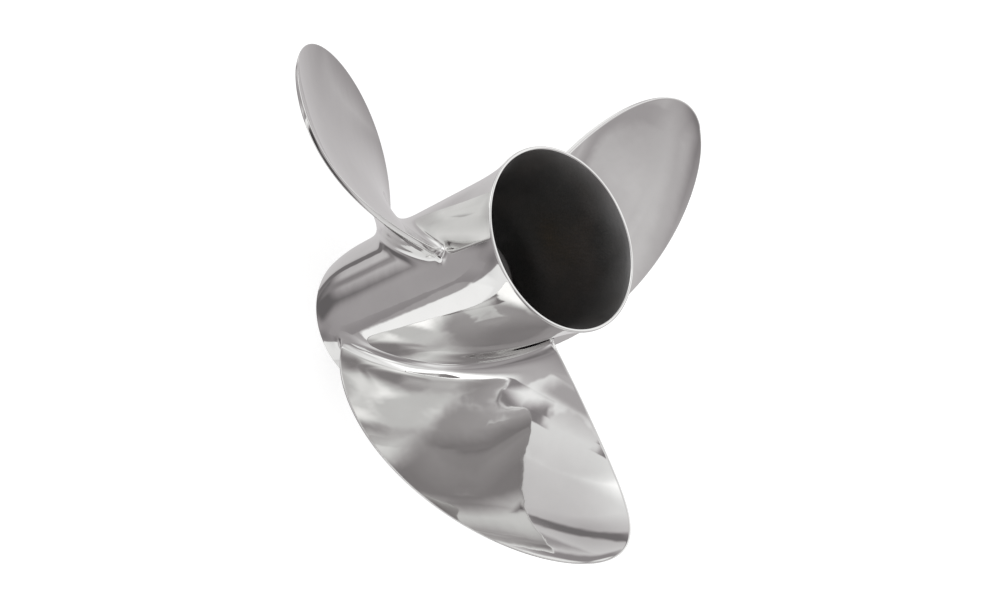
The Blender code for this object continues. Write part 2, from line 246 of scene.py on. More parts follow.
@dataclass(frozen=True)
class BarrelForm:
    """Outlines of the barrel's wall, as radii over height."""

    length: float
    front_radius: float = 54.5 * MM
    aft_radius: float = 56.8 * MM
    nose_length: float = 38 * MM
    nose_drop: float = 2.7 * MM
    nose_power: int = 3
    front_edge_round: float = 0.8 * MM
    front_edge_turn: tuple[float, float] = (-90.0, 0.0)
    flare_length: float = 56 * MM
    flare_power: int = 3
    bell_length: float = 26 * MM
    bell_power: int = 2
    mouth_outer_radius: float = 61.6 * MM
    mouth_inner_radius: float = 59.3 * MM
    passage_radius: float = 49 * MM
    passage_straight: float = 116 * MM
    passage_taper: float = 0.072
    passage_chamfer: float = 0.5 * MM
    lip_outer_angle: float = -20.0
    lip_inner_angle: float = 157.0
    slope_step: float = 0.01 * MM

    @property
    def mean_radius(self) -> float:
        """Radius at which the outer wall is laid flat to work out its faces."""
        return 0.5 * (self.front_radius + self.aft_radius)

    @property
    def lip_round(self) -> float:
        """Radius of the rounded lip round the mouth."""
        return 0.5 * (self.mouth_outer_radius - self.mouth_inner_radius)

    @property
    def lip_centre(self) -> tuple[float, float]:
        """Centre of the lip's round, as (radius, height)."""
        return self.mouth_inner_radius + self.lip_round, self.length - self.lip_round

    @property
    def flare_start(self) -> float:
        """Height at which the flare starts."""
        return self.length - self.flare_length

    def lip(self, steps: int) -> list:
        """Points round the lip, from outside to inside."""
        return arc(self.lip_centre, self.lip_round, self.lip_outer_angle, self.lip_inner_angle, steps)

    def plain(self, height: np.ndarray) -> np.ndarray:
        """Radius of the outer wall without its flare.

        Args:
            height: Heights along the shaft axis.

        Returns:
            Radii there.
        """
        radius = self.front_radius + (self.aft_radius - self.front_radius) * height / self.length
        into_nose = np.maximum(0.0, 1 - height / self.nose_length)
        return radius - self.nose_drop * into_nose ** self.nose_power

    def outer(self, height: np.ndarray) -> np.ndarray:
        """Radius of the outer wall, whose flare runs into the lip.

        Args:
            height: Heights along the shaft axis.

        Returns:
            Radii there.
        """
        lip_radius, lip_height = self.lip(1)[0]
        rise = lip_radius - self.plain(lip_height)
        into_flare = np.maximum(0.0, (height - self.flare_start) / (lip_height - self.flare_start))
        return self.plain(height) + rise * into_flare ** self.flare_power

    def outer_normals(self, angle: np.ndarray, height: np.ndarray) -> np.ndarray:
        """Exact normals of the outer wall at given angles and heights.

        Args:
            angle: Angles about the shaft axis, in radians.
            height: Heights along the shaft axis.

        Returns:
            Rows of unit normals.
        """
        ahead, behind = self.outer(height + self.slope_step), self.outer(height - self.slope_step)
        slope = (ahead - behind) / (2 * self.slope_step)
        normals = to_space(angle, -slope, np.ones_like(slope))
        return normals / np.linalg.norm(normals, axis=1, keepdims=True)

    def inner(self, height: np.ndarray) -> np.ndarray:
        """Radius of the exhaust passage: straight, then tapered, then belled into the lip.

        Args:
            height: Heights along the shaft axis.

        Returns:
            Radii there.
        """
        lip_radius, lip_height = self.lip(1)[1]
        taper = self.passage_taper * np.maximum(0.0, height - self.passage_straight)
        tapered = self.passage_radius + taper
        rise = lip_radius - self.passage_radius - self.passage_taper * (lip_height - self.passage_straight)
        bell_start = self.length - self.bell_length
        into_bell = np.maximum(0.0, (height - bell_start) / (lip_height - bell_start))
        return tapered + rise * into_bell ** self.bell_power


@dataclass(frozen=True)
class BladeForm:
    """One blade's skin, from the root cylinder (station 0) to the tip (station 1)."""

    tip_radius: float
    root_radius: float = 57 * MM
    root_middle: float = 84.7 * MM
    root_pitch: float = 485 * MM
    pitch_rise: float = 35 * MM
    root_half_angle: float = math.radians(45.6)
    half_angle_loss: float = math.radians(7.7)
    tip_skew: float = math.radians(17.5)
    skew_growth: float = 1.41
    rake_slope: float = 63 * MM
    rake_kick: float = 33 * MM
    rake_power: int = 3
    root_thickness: float = 11.5 * MM
    tip_thickness: float = 2.2 * MM
    thickness_fall: float = 1.35
    tip_thinning_power: int = 4
    leading_edge: float = 1.8 * MM
    trailing_edge: float = 3.7 * MM
    edge_round: float = 0.9 * MM
    body_reach: float = 12 * MM
    camber: float = 5.0 * MM
    cup_depth: float = 1.6 * MM
    cup_reach: float = 14 * MM
    tip_fade_start: float = 0.9
    tip_fade: float = 0.35
    pressure_fillet: float = 17 * MM
    suction_fillet: float = 8 * MM
    edge_fillet: float = 11 * MM
    fillet_power: int = 4
    fillet_hold: tuple[float, float] = (0.4, 0.8)
    widest_edge_share: float = 0.35
    last_station: float = 1 - 1e-6

    @property
    def span(self) -> float:
        """Radial length of the blade."""
        return self.tip_radius - self.root_radius

    def radius(self, station: np.ndarray) -> np.ndarray:
        """Distance of a station from the axis."""
        return self.root_radius + self.span * station

    def half_angle(self, station: np.ndarray) -> np.ndarray:
        """Half of the angle that the section spans about the axis."""
        return (self.root_half_angle - self.half_angle_loss * station) * np.sqrt(1 - station)

    def pitch(self, station: np.ndarray) -> np.ndarray:
        """Advance of the section in one turn."""
        return self.root_pitch + self.pitch_rise * station

    def half_chord(self, station: np.ndarray) -> np.ndarray:
        """Half of the section's length along its helix."""
        turn = 2 * math.pi * self.radius(station)
        return self.half_angle(station) * self.radius(station) * np.hypot(self.pitch(station), turn) / turn

    def edge_share(self, station: np.ndarray, inset: np.ndarray) -> np.ndarray:
        """Share of the half chord that lies a given distance inside the outline.

        Args:
            station: Stations along the blade.
            inset: Distances in from the blade's outline.

        Returns:
            Shares of the half chord, held well under one near the tip.
        """
        left = np.sqrt(1 - station)
        half_chord = self.half_chord(station)
        slope = np.hypot(1.0, half_chord / (2 * self.span * left * left))
        share = inset / half_chord * slope
        return share / (1 + share / self.widest_edge_share)

    def skin(self, station: np.ndarray, across: np.ndarray, side: np.ndarray) -> tuple:
        """Places on the blade's skin, whose pressure face runs smoothly out to its edge.

        Args:
            station: Stations along the blade, 0 to 1.
            across: Places across the chord, leading edge (-1) to trailing edge (1).
            side: 1 on the pressure face, which looks aft, to -1 on the suction face.

        Returns:
            Angles, heights and radii of the places.
        """
        station = np.minimum(station, self.last_station)
        radius, pitch = self.radius(station), self.pitch(station)
        turn = 2 * math.pi * radius
        slant = np.hypot(pitch, turn)
        half_angle, half_chord = self.half_angle(station), self.half_chord(station)
        crown = 1 - across * across
        rate = np.hypot(1 / self.span, 2 * across * (1 - station) / half_chord)
        inset = (1 - station) * crown / rate

        near_tip = ease((station - self.tip_fade_start) / (1 - self.tip_fade_start))
        aft_share = ease(0.5 + 0.5 * across) * (1 - self.tip_fade * near_tip)
        edge = self.leading_edge + (self.trailing_edge - self.leading_edge) * aft_share
        fall = (1 - station) ** self.thickness_fall
        body = self.tip_thickness + (self.root_thickness - self.tip_thickness) * fall
        rounding = np.maximum(0.0, 1 - inset / self.edge_round)
        blunt = 0.5 * edge - self.edge_round * (1 - np.sqrt(1 - rounding * rounding))
        filled = ease(inset / self.body_reach)
        behind = (1 - side) * filled
        thick_share = 1 - station ** self.tip_thinning_power - behind
        face = side * np.maximum(0.0, blunt) + 0.5 * body * crown * thick_share

        hollow = self.camber * crown * np.sqrt(1 - station)
        cup = self.cup_depth * aft_share * (1 - np.exp(-inset / self.cup_reach))
        offset = face - hollow - cup
        skew = self.tip_skew * station ** self.skew_growth
        middle = self.root_middle + self.rake_slope * station + self.rake_kick * station ** self.rake_power
        angle = skew + half_angle * across - offset * pitch / slant / radius
        height = middle + pitch * half_angle * across / (2 * math.pi) + offset * turn / slant
        return angle, height, radius

    def fillet(self, across: np.ndarray, side: np.ndarray) -> np.ndarray:
        """Reach of the root fillet at places of the blade section.

        Args:
            across: Places across the chord, leading edge (-1) to trailing edge (1).
            side: 1 on the pressure face to -1 on the suction face.

        Returns:
            The reach at each place.
        """
        face = np.where(side > 0, self.pressure_fillet, self.suction_fillet)
        face_share = np.sqrt(np.maximum(0.0, 1 - across ** self.fillet_power))
        return self.edge_fillet + (face - self.edge_fillet) * face_share

    def fillet_parts(self, share: float) -> tuple[float, float, float]:
        """Weights of foot, corner and top at a place along the fillet.

        Args:
            share: 0 at the foot to 1 at the top.

        Returns:
            Three weights that add up to one, of a curve that leaves both ends without a kink in its
            curvature, so that reflections flow through it.
        """
        near, far = self.fillet_hold
        pull = (1.0, 1 - near, 1 - far)
        degree = 2 * len(pull) - 1
        steps = range(degree + 1)
        terms = [math.comb(degree, k) * share ** k * (1 - share) ** (degree - k) for k in steps]
        foot = sum(term * part for term, part in zip(terms, pull))
        top = sum(term * part for term, part in zip(reversed(terms), pull))
        return foot, 1 - foot - top, top


@dataclass(frozen=True)
class SectionPlaces:
    """Places round a blade section, from the leading edge over the pressure face and back."""

    edge_steps: int = 6
    face_steps: int = 72
    blunt_steps: int = 3
    evenness: float = 0.35

    def layout(self) -> tuple[np.ndarray, np.ndarray, np.ndarray, np.ndarray]:
        """Work out the places once for all stations.

        Returns:
            Four arrays: the end that each place belongs to (-1 leading, 1 trailing, 0 a face), its
            turn round that edge from 0 to 1, its place across the face, and its side.
        """
        turns = np.arange(self.edge_steps) / self.edge_steps
        even = np.linspace(-1, 1, self.face_steps + 1)
        spread = self.evenness * even + (1 - self.evenness) * np.sin(0.5 * math.pi * even)
        ends = np.concatenate([-np.ones_like(turns), np.zeros_like(even), np.ones_like(turns)])
        turn = np.concatenate([turns, np.ones_like(even), turns[::-1]])
        face = np.concatenate([np.zeros_like(turns), spread, np.zeros_like(turns)])
        blunt = np.linspace(1, -1, self.blunt_steps + 1)[1:-1]
        sides = [np.ones(len(ends)), blunt, -np.ones(len(ends) - 1)]
        return (
            np.concatenate([ends, np.ones(len(blunt)), ends[:0:-1]]),
            np.concatenate([turn, np.zeros(len(blunt)), turn[:0:-1]]),
            np.concatenate([face, np.zeros(len(blunt)), face[:0:-1]]),
            np.concatenate(sides),
        )


@dataclass
class PropellerCasting:
    """The polished outside of the casting: barrel and blades in one seamless skin."""

    steel: bpy.types.Material
    dark: bpy.types.Material
    columns: int = 64
    low: float = 8 * MM
    high: float = 160 * MM
    row_step: float = 1.9 * MM
    keep_off: float = 0.8 * MM
    fillet_steps: int = 20
    span_steps: int = 72
    lip_steps: int = 12
    flare_steps: int = 22
    passage_steps: int = 60
    front_steps: int = 5
    nose_steps: int = 5
    landing_step: float = 0.01
    tip_inset: float = 0.5 * MM
    merge_within: float = 1e-5 * MM
    barrel: BarrelForm = field(init=False)
    blade: BladeForm = field(init=False)
    places: SectionPlaces = field(default_factory=SectionPlaces)

    def __post_init__(self) -> None:
        """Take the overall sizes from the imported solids."""
        self.barrel = BarrelForm(length=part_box("hub_barrel")[1].z)
        self.blade = BladeForm(tip_radius=reach("blade_1") - self.tip_inset)

    def across(self, station: np.ndarray) -> np.ndarray:
        """Place across the chord of every place of the section, at its station.

        Args:
            station: Station of each place of the section.

        Returns:
            Places from the leading edge (-1) to the trailing edge (1).
        """
        ends, turn, face, _ = self.places.layout()
        inset = self.blade.edge_round * (1 - np.cos(0.5 * math.pi * turn))
        rim = 1 - self.blade.edge_share(station, inset)
        inner = 1 - self.blade.edge_share(station, np.full_like(turn, self.blade.edge_round))
        return np.where(ends == 0, inner * face, ends * rim)

    def landings(self) -> tuple:
        """Find where the fillet leaves the blade and where the blade would meet the barrel.

        Returns:
            Station, top place, its height over the barrel, corner place and fillet size, each an
            array over the section's places. A place is an (angle, height) pair of arrays.
        """
        side = self.places.layout()[3]
        size = self.blade.fillet(self.across(np.zeros_like(side)), side)
        start = size / self.blade.span
        across = self.across(start)
        top = self.blade.skin(start, across, side)
        above = self.blade.skin(start + self.landing_step, across, side)
        lift = top[2] - self.barrel.outer(top[1])
        run = lift / (above[2] - self.barrel.outer(above[1]) - lift)
        corner = tuple(top[k] - (above[k] - top[k]) * run for k in range(2))
        return start, top, lift, corner, size

    def feet(self, corner: tuple, size: np.ndarray) -> tuple[np.ndarray, np.ndarray]:
        """Find the foot of the fillet on the barrel, square to the blade's outline.

        Args:
            corner: Angles and heights where the bare blade would meet the barrel.
            size: Fillet size at each place.

        Returns:
            Angles and heights of the foot.
        """
        mean = self.barrel.mean_radius
        flat = np.column_stack([corner[0] * mean, corner[1]])
        onward = np.roll(flat, -1, axis=0) - flat
        onward /= np.linalg.norm(onward, axis=1, keepdims=True)
        along = onward + np.roll(onward, 1, axis=0)
        along /= np.linalg.norm(along, axis=1, keepdims=True)
        foot = flat + np.column_stack([-along[:, 1], along[:, 0]]) * size[:, None]
        return foot[:, 0] / mean, foot[:, 1]

    def blade_rings(self) -> list[tuple[np.ndarray, np.ndarray, np.ndarray]]:
        """Rings of places from the foot of the fillet to just short of the tip.

        Returns:
            Rings as (angles, heights, radii).
        """
        side = self.places.layout()[3]
        start, top, lift, corner, size = self.landings()
        foot = self.feet(corner, size)
        rings = []
        for share in np.linspace(0, 1, self.fillet_steps + 1):
            parts = self.blade.fillet_parts(share)
            angle = parts[0] * foot[0] + parts[1] * corner[0] + parts[2] * top[0]
            height = parts[0] * foot[1] + parts[1] * corner[1] + parts[2] * top[1]
            rings.append((angle, height, self.barrel.outer(height) + parts[2] * lift))
        for step in range(1, self.span_steps):
            share = math.sin(0.5 * math.pi * step / self.span_steps)
            station = start + (1 - start) * share
            rings.append(self.blade.skin(station, self.across(station), side))
        return rings

    def barrel_patch(self, loop: np.ndarray) -> tuple[np.ndarray, np.ndarray]:
        """Triangulate a third of the barrel's skin round the foot of its blade.

        Args:
            loop: Rows of (angle, height) round the foot of the fillet.

        Returns:
            Rows of (angle, height) of the points outside the foot, and rows of three indices, which
            count the loop's points first and those after them.
        """
        mean = self.barrel.mean_radius
        rows = round((self.high - self.low) / self.row_step)
        angles = np.linspace(-0.5 * SECTOR, 0.5 * SECTOR, self.columns + 1)
        heights = np.linspace(self.low, self.high, rows + 1)
        lattice = np.array([(angle, height) for height in heights for angle in angles])
        scale = np.array([mean, 1.0]) / MM
        inside, distance = self.against_loop(lattice * scale, loop * scale)
        lattice = lattice[~inside & (distance > self.keep_off / MM)]
        points = np.vstack([loop, lattice])
        flat = points * scale
        edges = [(k, (k + 1) % len(loop)) for k in range(len(loop))]
        rows_2d = [Vector(row) for row in flat.tolist()]
        whole_hull = 0
        made = delaunay_2d_cdt(rows_2d, edges, [], whole_hull, self.merge_within / MM, True)
        _, _, faces, origins, _, _ = made
        source = [ids[0] for ids in origins]
        corners = np.array([[source[index] for index in face] for face in faces])
        centres = flat[corners].mean(axis=1)
        hidden, _ = self.against_loop(centres, flat[: len(loop)])
        return lattice, corners[~hidden]

    @staticmethod
    def against_loop(points: np.ndarray, loop: np.ndarray) -> tuple[np.ndarray, np.ndarray]:
        """Compare flat points with a closed loop.

        Args:
            points: Rows of x, y.
            loop: Rows of x, y round the loop.

        Returns:
            Whether each point is inside, and its distance to the loop.
        """
        inside = np.zeros(len(points), bool)
        distance = np.full(len(points), np.inf)
        for begin, end in zip(loop, np.roll(loop, -1, axis=0)):
            step = end - begin
            share = np.clip((points - begin) @ step / (step @ step), 0, 1)
            gap = points - begin - share[:, None] * step
            distance = np.minimum(distance, np.hypot(gap[:, 0], gap[:, 1]))
            if begin[1] != end[1]:
                crosses = (begin[1] > points[:, 1]) != (end[1] > points[:, 1])
                at = begin[0] + (points[:, 1] - begin[1]) / (end[1] - begin[1]) * step[0]
                inside ^= crosses & (points[:, 0] < at)
        return inside, distance

    def sectors(self, skin: Skin) -> tuple[np.ndarray, np.ndarray]:
        """Add the three blades with their parts of the barrel.

        Args:
            skin: The mesh that they are added to.

        Returns:
            Point indices of the barrel's lowest and highest ring there, once round.
        """
        rings = self.blade_rings()
        loop = np.column_stack(rings[0][:2])
        lattice, corners = self.barrel_patch(loop)
        right = np.isclose(lattice[:, 0], 0.5 * SECTOR)
        left = np.isclose(lattice[:, 0], -0.5 * SECTOR)
        flat = np.vstack([loop, lattice[~right]])
        barrel_points = to_space(flat[:, 0], flat[:, 1], self.barrel.outer(flat[:, 1]))
        barrel_normals = self.barrel.outer_normals(flat[:, 0], flat[:, 1])
        upper_points = [to_space(*ring) for ring in rings[1:]]
        tip = to_space(*self.blade.skin(np.ones(1), np.zeros(1), np.zeros(1)))

        own = np.full(len(lattice), -1)
        own[~right] = len(loop) + np.arange((~right).sum())
        left_own = own[left]
        bottom = np.isclose(lattice[:, 1], self.low) & ~right
        top = np.isclose(lattice[:, 1], self.high) & ~right
        bases = []
        for index in range(BLADE_COUNT):
            turn = SECTOR * index
            ids = skin.add(turned_about_axis(barrel_points, turn), turned_about_axis(barrel_normals, turn))
            bases.append(ids[0])
            foot = ids[: len(loop)]
            for points in upper_points:
                ring = skin.add(turned_about_axis(points, turn))
                skin.strip(ring, foot)
                foot = ring
            skin.fan(foot, skin.add(turned_about_axis(tip, turn))[0])
        low_ring, high_ring = [], []
        for index, base in enumerate(bases):
            table = np.empty(len(loop) + len(lattice), int)
            table[: len(loop)] = base + np.arange(len(loop))
            table[len(loop):][~right] = base + own[~right]
            table[len(loop):][right] = bases[(index + 1) % BLADE_COUNT] + left_own
            skin.triangles(table[corners])
            low_ring.extend(base + own[bottom])
            high_ring.extend(base + own[top])
        return np.array(low_ring), np.array(high_ring)

    def build(self) -> bpy.types.Object:
        """Build the whole skin: blades and barrel, flare, lip, passage, front end and nose.

        Returns:
            The casting's object.
        """
        skin = Skin()
        barrel = self.barrel
        low_ring, high_ring = self.sectors(skin)
        count = BLADE_COUNT * self.columns
        angles = -0.5 * SECTOR + np.arange(count) * 2 * math.pi / count

        def outer_ring(height: float) -> np.ndarray:
            """Add a ring of the outer wall with its exact normals.

            Args:
                height: Height of the ring.

            Returns:
                Its point indices.
            """
            heights = np.full(count, height)
            points = to_space(angles, heights, barrel.outer(heights))
            return skin.add(points, barrel.outer_normals(angles, heights))

        def plain_ring(radius: float, height: float) -> np.ndarray:
            """Add a ring with normals left to the mesh."""
            return skin.add(to_space(angles, np.full(count, height), np.full(count, radius)))

        lip = barrel.lip(self.lip_steps)
        flare = np.linspace(self.high, lip[0][1], self.flare_steps + 1)[1:-1]
        passage = np.linspace(lip[-1][1], barrel.passage_chamfer, self.passage_steps + 1)[1:]
        corner = barrel.front_edge_round
        centre = (float(barrel.outer(np.array(corner))) - corner, corner)
        front_edge = arc(centre, corner, *barrel.front_edge_turn, self.front_steps)
        nose = np.linspace(corner, self.low, self.nose_steps + 1)[1:-1]
        ring = skin.stack(high_ring, [outer_ring(height) for height in flare])
        ring = skin.stack(ring, [plain_ring(radius, height) for radius, height in lip])
        inside = [plain_ring(float(barrel.inner(height)), height) for height in passage]
        inside.append(plain_ring(barrel.passage_radius + barrel.passage_chamfer, 0.0))
        ring = skin.stack(ring, inside, Coat.INSIDE)
        ring = skin.stack(ring, [plain_ring(radius, height) for radius, height in front_edge])
        ring = skin.stack(ring, [outer_ring(height) for height in nose])
        skin.strip(ring, low_ring)
        return skin.to_object("propeller_casting", [self.steel, self.dark])


@dataclass(frozen=True)
class RoundSection:
    """Circular section of a wall, as a distance from the axis all the way round."""

    radius: float

    def radii(self, steps: int, grow: float = 0.0) -> np.ndarray:
        """Distances from the axis, for a section that is larger all round by a given growth.

        Args:
            steps: Number of places round the axis.
            grow: How much larger the section is all round.

        Returns:
            One radius for each place.
        """
        return np.full(steps, self.radius + grow)


@dataclass(frozen=True)
class SquareSection:
    """Square section with round corners."""

    half: float
    corner: float

    def radii(self, steps: int, grow: float = 0.0) -> np.ndarray:
        """Distances from the axis, for a section that is larger all round by a given growth.

        Args:
            steps: Number of places round the axis.
            grow: How much larger the section is all round.

        Returns:
            One radius for each place.
        """
        half, corner = self.half + grow, self.corner + grow
        straight = half - corner
        angles = np.linspace(0, 2 * math.pi, steps, endpoint=False)
        folded = np.abs((angles + 0.25 * math.pi) % (0.5 * math.pi) - 0.25 * math.pi)
        middle = straight * (np.cos(folded) + np.sin(folded))
        turned = middle + np.sqrt(np.maximum(0.0, middle ** 2 - 2 * straight ** 2 + corner ** 2))
        return np.where(half * np.tan(folded) <= straight, half / np.cos(folded), turned)


@dataclass(frozen=True)
class SplineSection:
    """Section of the splined bore, with flank and crest rounded into one another."""

    teeth: int
    root_radius: float
    crest_radius: float
    steepness: float

    def radii(self, steps: int, grow: float = 0.0) -> np.ndarray:
        """Distances from the axis, for a section that is larger all round by a given growth.

        Args:
            steps: Number of places round the axis.
            grow: How much larger the section is all round.

        Returns:
            One radius for each place.
        """
        angles = np.linspace(0, 2 * math.pi, steps, endpoint=False)
        wave = np.tanh(self.steepness * np.cos(self.teeth * angles)) / math.tanh(self.steepness)
        middle = 0.5 * (self.root_radius + self.crest_radius)
        return middle - 0.5 * (self.root_radius - self.crest_radius) * wave + grow


Section = RoundSection | SquareSection | SplineSection


@dataclass(frozen=True)
class Groove:
    """A round-edged ring sunk in an end face."""

    inner: float
    outer: float
    depth: float
    round_share: float = 0.3

    def profile(self) -> list[tuple[float, float]]:
        """Points across the groove.

        Returns:
            Points as (radius, depth) pairs, from inside to outside.
        """
        corner = self.round_share * self.depth
        return [
            (self.inner - corner, 0.0),
            (self.inner, corner),
            (self.inner + corner, self.depth - corner),
            (self.inner + 2 * corner, self.depth),
            (self.outer - 2 * corner, self.depth),
            (self.outer - corner, self.depth - corner),
            (self.outer, corner),
            (self.outer + corner, 0.0),
        ]


@dataclass(frozen=True)
class Bush:
    """A thick ring round the shaft axis, with its own outer and inner section."""

    low: float
    high: float
    outside: Section
    inside: Section
    outer_edge: float
    inner_edge: float
    groove: Groove | None = None
    steps: int = 240
    edge_steps: int = 4
    border: float = 0.35 * MM
    chamfer_middle: tuple[float, float] = (0.5, 0.4)

    def outline(self) -> list[tuple[np.ndarray, float]]:
        """Rings up the outside, over the aft face, down the bore and out along the front face.

        Returns:
            Rings as (radii round the axis, height).
        """
        front_half = self.half_outline()
        rings = [(radii, self.low + inset) for radii, inset in front_half]
        rings += [(radii, self.high - inset) for radii, inset in reversed(front_half)]
        return rings

    def build(self, name: str, material: bpy.types.Material) -> bpy.types.Object:
        """Make the ring's object.

        Args:
            name: Name of the object.
            material: Its finish.

        Returns:
            The new object.
        """
        skin = Skin()
        skin.wall(self.outline())
        return skin.to_object(name, [material])

    def half_outline(self) -> list[tuple[np.ndarray, float]]:
        """Rings of one end, from its bore to its outside.

        Returns:
            Rings as (radii round the axis, distance in from the end face).
        """
        def inner(grow: float) -> np.ndarray:
            """Bore section, widened by a given growth."""
            return self.inside.radii(self.steps, grow)

        def outer(grow: float) -> np.ndarray:
            """Outer section, widened by a given growth."""
            return self.outside.radii(self.steps, grow)

        widened, sunk = self.chamfer_middle
        rings = [
            (inner(0.0), self.inner_edge + self.border),
            (inner(0.0), self.inner_edge),
            (inner(widened * self.inner_edge), sunk * self.inner_edge),
            (inner(self.inner_edge), 0.0),
            (inner(self.inner_edge + self.border), 0.0),
        ]
        if self.groove is not None:
            for radius, depth in self.groove.profile():
                rings.append((np.full(self.steps, radius), depth))
        rings.append((outer(-self.outer_edge - self.border), 0.0))
        for turn in np.linspace(0, 0.5 * math.pi, self.edge_steps + 1):
            grow = -self.outer_edge * (1 - math.sin(turn))
            rings.append((outer(grow), self.outer_edge * (1 - math.cos(turn))))
        rings.append((outer(0.0), self.outer_edge + self.border))
        return rings


@dataclass
class InnerCasting:
    """The unpolished inside of the casting: thick inner hub and the ribs that carry it."""

    dark: bpy.types.Material
    bore_half: float = 21.5 * MM
    bore_corner: float = 9 * MM
    edge_round: float = 1.5 * MM
    bore_chamfer: float = 0.6 * MM
    rib_half_thickness: float = 2.75 * MM
    rib_fillet: float = 5 * MM
    rib_low: float = 14 * MM
    rib_high: float = 100 * MM
    first_rib_angle: float = math.radians(60)
    wall_radius: float = 49 * MM
    sunk: float = 0.3 * MM
    end_steps: int = 16
    side_steps: int = 24
    fillet_steps: int = 8

    def hub(self) -> bpy.types.Object:
        """Build the inner hub.

        Returns:
            The hub's object.
        """
        bush = Bush(
            *ends("inner_hub"),
            outside=RoundSection(reach("inner_hub")),
            inside=SquareSection(self.bore_half, self.bore_corner),
            outer_edge=self.edge_round,
            inner_edge=self.bore_chamfer,
        )
        return bush.build("inner_hub_casting", self.dark)

    def stations(self) -> list[tuple[float, float]]:
        """Distances from the axis along a rib, with its half thickness at each.

        Returns:
            Pairs of distance and half thickness, from the hub to the wall.
        """
        hub_radius = reach("inner_hub")
        turns = np.linspace(0, 0.5 * math.pi, self.fillet_steps + 1)
        off = self.rib_fillet * (1 - np.cos(turns))
        spread = self.rib_fillet * (1 - np.sin(turns))
        near_hub = [(hub_radius + d, self.rib_half_thickness + g) for d, g in zip(off, spread)]
        near_wall = [(self.wall_radius - d, self.rib_half_thickness + g) for d, g in zip(off, spread)]
        widest = self.rib_half_thickness + self.rib_fillet
        first = (hub_radius - self.sunk, widest)
        last = (self.wall_radius + self.sunk, widest)
        return [first, *near_hub, *reversed(near_wall), last]

    def rib_section(self, half_thickness: float) -> np.ndarray:
        """Round-ended section of a rib.

        Args:
            half_thickness: Half of the rib's thickness there.

        Returns:
            Rows of (sideways, height), turning from sideways to upward.
        """
        grow = half_thickness - self.rib_half_thickness
        low = self.rib_low - grow + half_thickness
        high = self.rib_high + grow - half_thickness
        turns = np.linspace(0, math.pi, self.end_steps + 1)
        top = np.column_stack([np.cos(turns), np.sin(turns)]) * half_thickness + [0, high]
        bottom = [0, low] - np.column_stack([np.cos(turns), np.sin(turns)]) * half_thickness
        rise = np.linspace(0, 1, self.side_steps + 1)[1:-1, None]
        down = top[-1] + (bottom[0] - top[-1]) * rise
        up = bottom[-1] + (top[0] - bottom[-1]) * rise
        return np.vstack([top, down, bottom, up])

    def rib(self, index: int) -> bpy.types.Object:
        """Build one rib, with its fillets let into the hub and the barrel's wall.

        Args:
            index: Number of the rib, counted from 0.

        Returns:
            The rib's object.
        """
        skin = Skin()
        turn = self.first_rib_angle + SECTOR * index
        rings = []
        for radius, half_thickness in self.stations():
            flat = self.rib_section(half_thickness)
            outward = np.sqrt(radius ** 2 - flat[:, 0] ** 2)
            points = np.column_stack([outward, flat])
            rings.append(skin.add(turned_about_axis(points, turn)))
        skin.stack(rings[0], rings[1:])
        middle = 0.5 * (self.rib_low + self.rib_high)
        for ring, radius in ((rings[0], self.stations()[0][0]), (rings[-1][::-1], self.stations()[-1][0])):
            centre = turned_about_axis(np.array([[radius, 0.0, middle]]), turn)
            skin.fan(ring, skin.add(centre)[0])
        return skin.to_object(f"rib_casting_{index + 1}", [self.dark])


@dataclass
class DriveSleeve:
    """Moulded sleeve that passes the turning force from the adapter to the hub."""

    polymer: bpy.types.Material
    half: float = 21.2 * MM
    corner: float = 8.7 * MM
    bore_radius: float = 16 * MM
    edge: float = 0.6 * MM
    groove: Groove = Groove(17.4 * MM, 19.4 * MM, 1.2 * MM)

    def build(self) -> bpy.types.Object:
        """Build the sleeve with a sunk ring in each end face.

        Returns:
            The sleeve's object.
        """
        bush = Bush(
            *ends("drive_sleeve"),
            outside=SquareSection(self.half, self.corner),
            inside=RoundSection(self.bore_radius),
            outer_edge=self.edge,
            inner_edge=self.edge,
            groove=self.groove,
        )
        return bush.build("moulded_drive_sleeve", self.polymer)


@dataclass
class SplinedAdapter:
    """Brass tube whose splined bore takes the propeller shaft."""

    brass: bpy.types.Material
    teeth: int = 15
    root_radius: float = 12.7 * MM
    crest_radius: float = 11.2 * MM
    steepness: float = 1.6
    outer_edge: float = 0.8 * MM
    inner_edge: float = 0.5 * MM
    groove: Groove = Groove(14.0 * MM, 14.7 * MM, 0.25 * MM)

    def build(self) -> bpy.types.Object:
        """Build the adapter with a fine turned groove in each end face.

        Returns:
            The adapter's object.
        """
        bush = Bush(
            *ends("splined_adapter"),
            outside=RoundSection(reach("splined_adapter")),
            inside=SplineSection(self.teeth, self.root_radius, self.crest_radius, self.steepness),
            outer_edge=self.outer_edge,
            inner_edge=self.inner_edge,
            groove=self.groove,
        )
        return bush.build("splined_brass_adapter", self.brass)


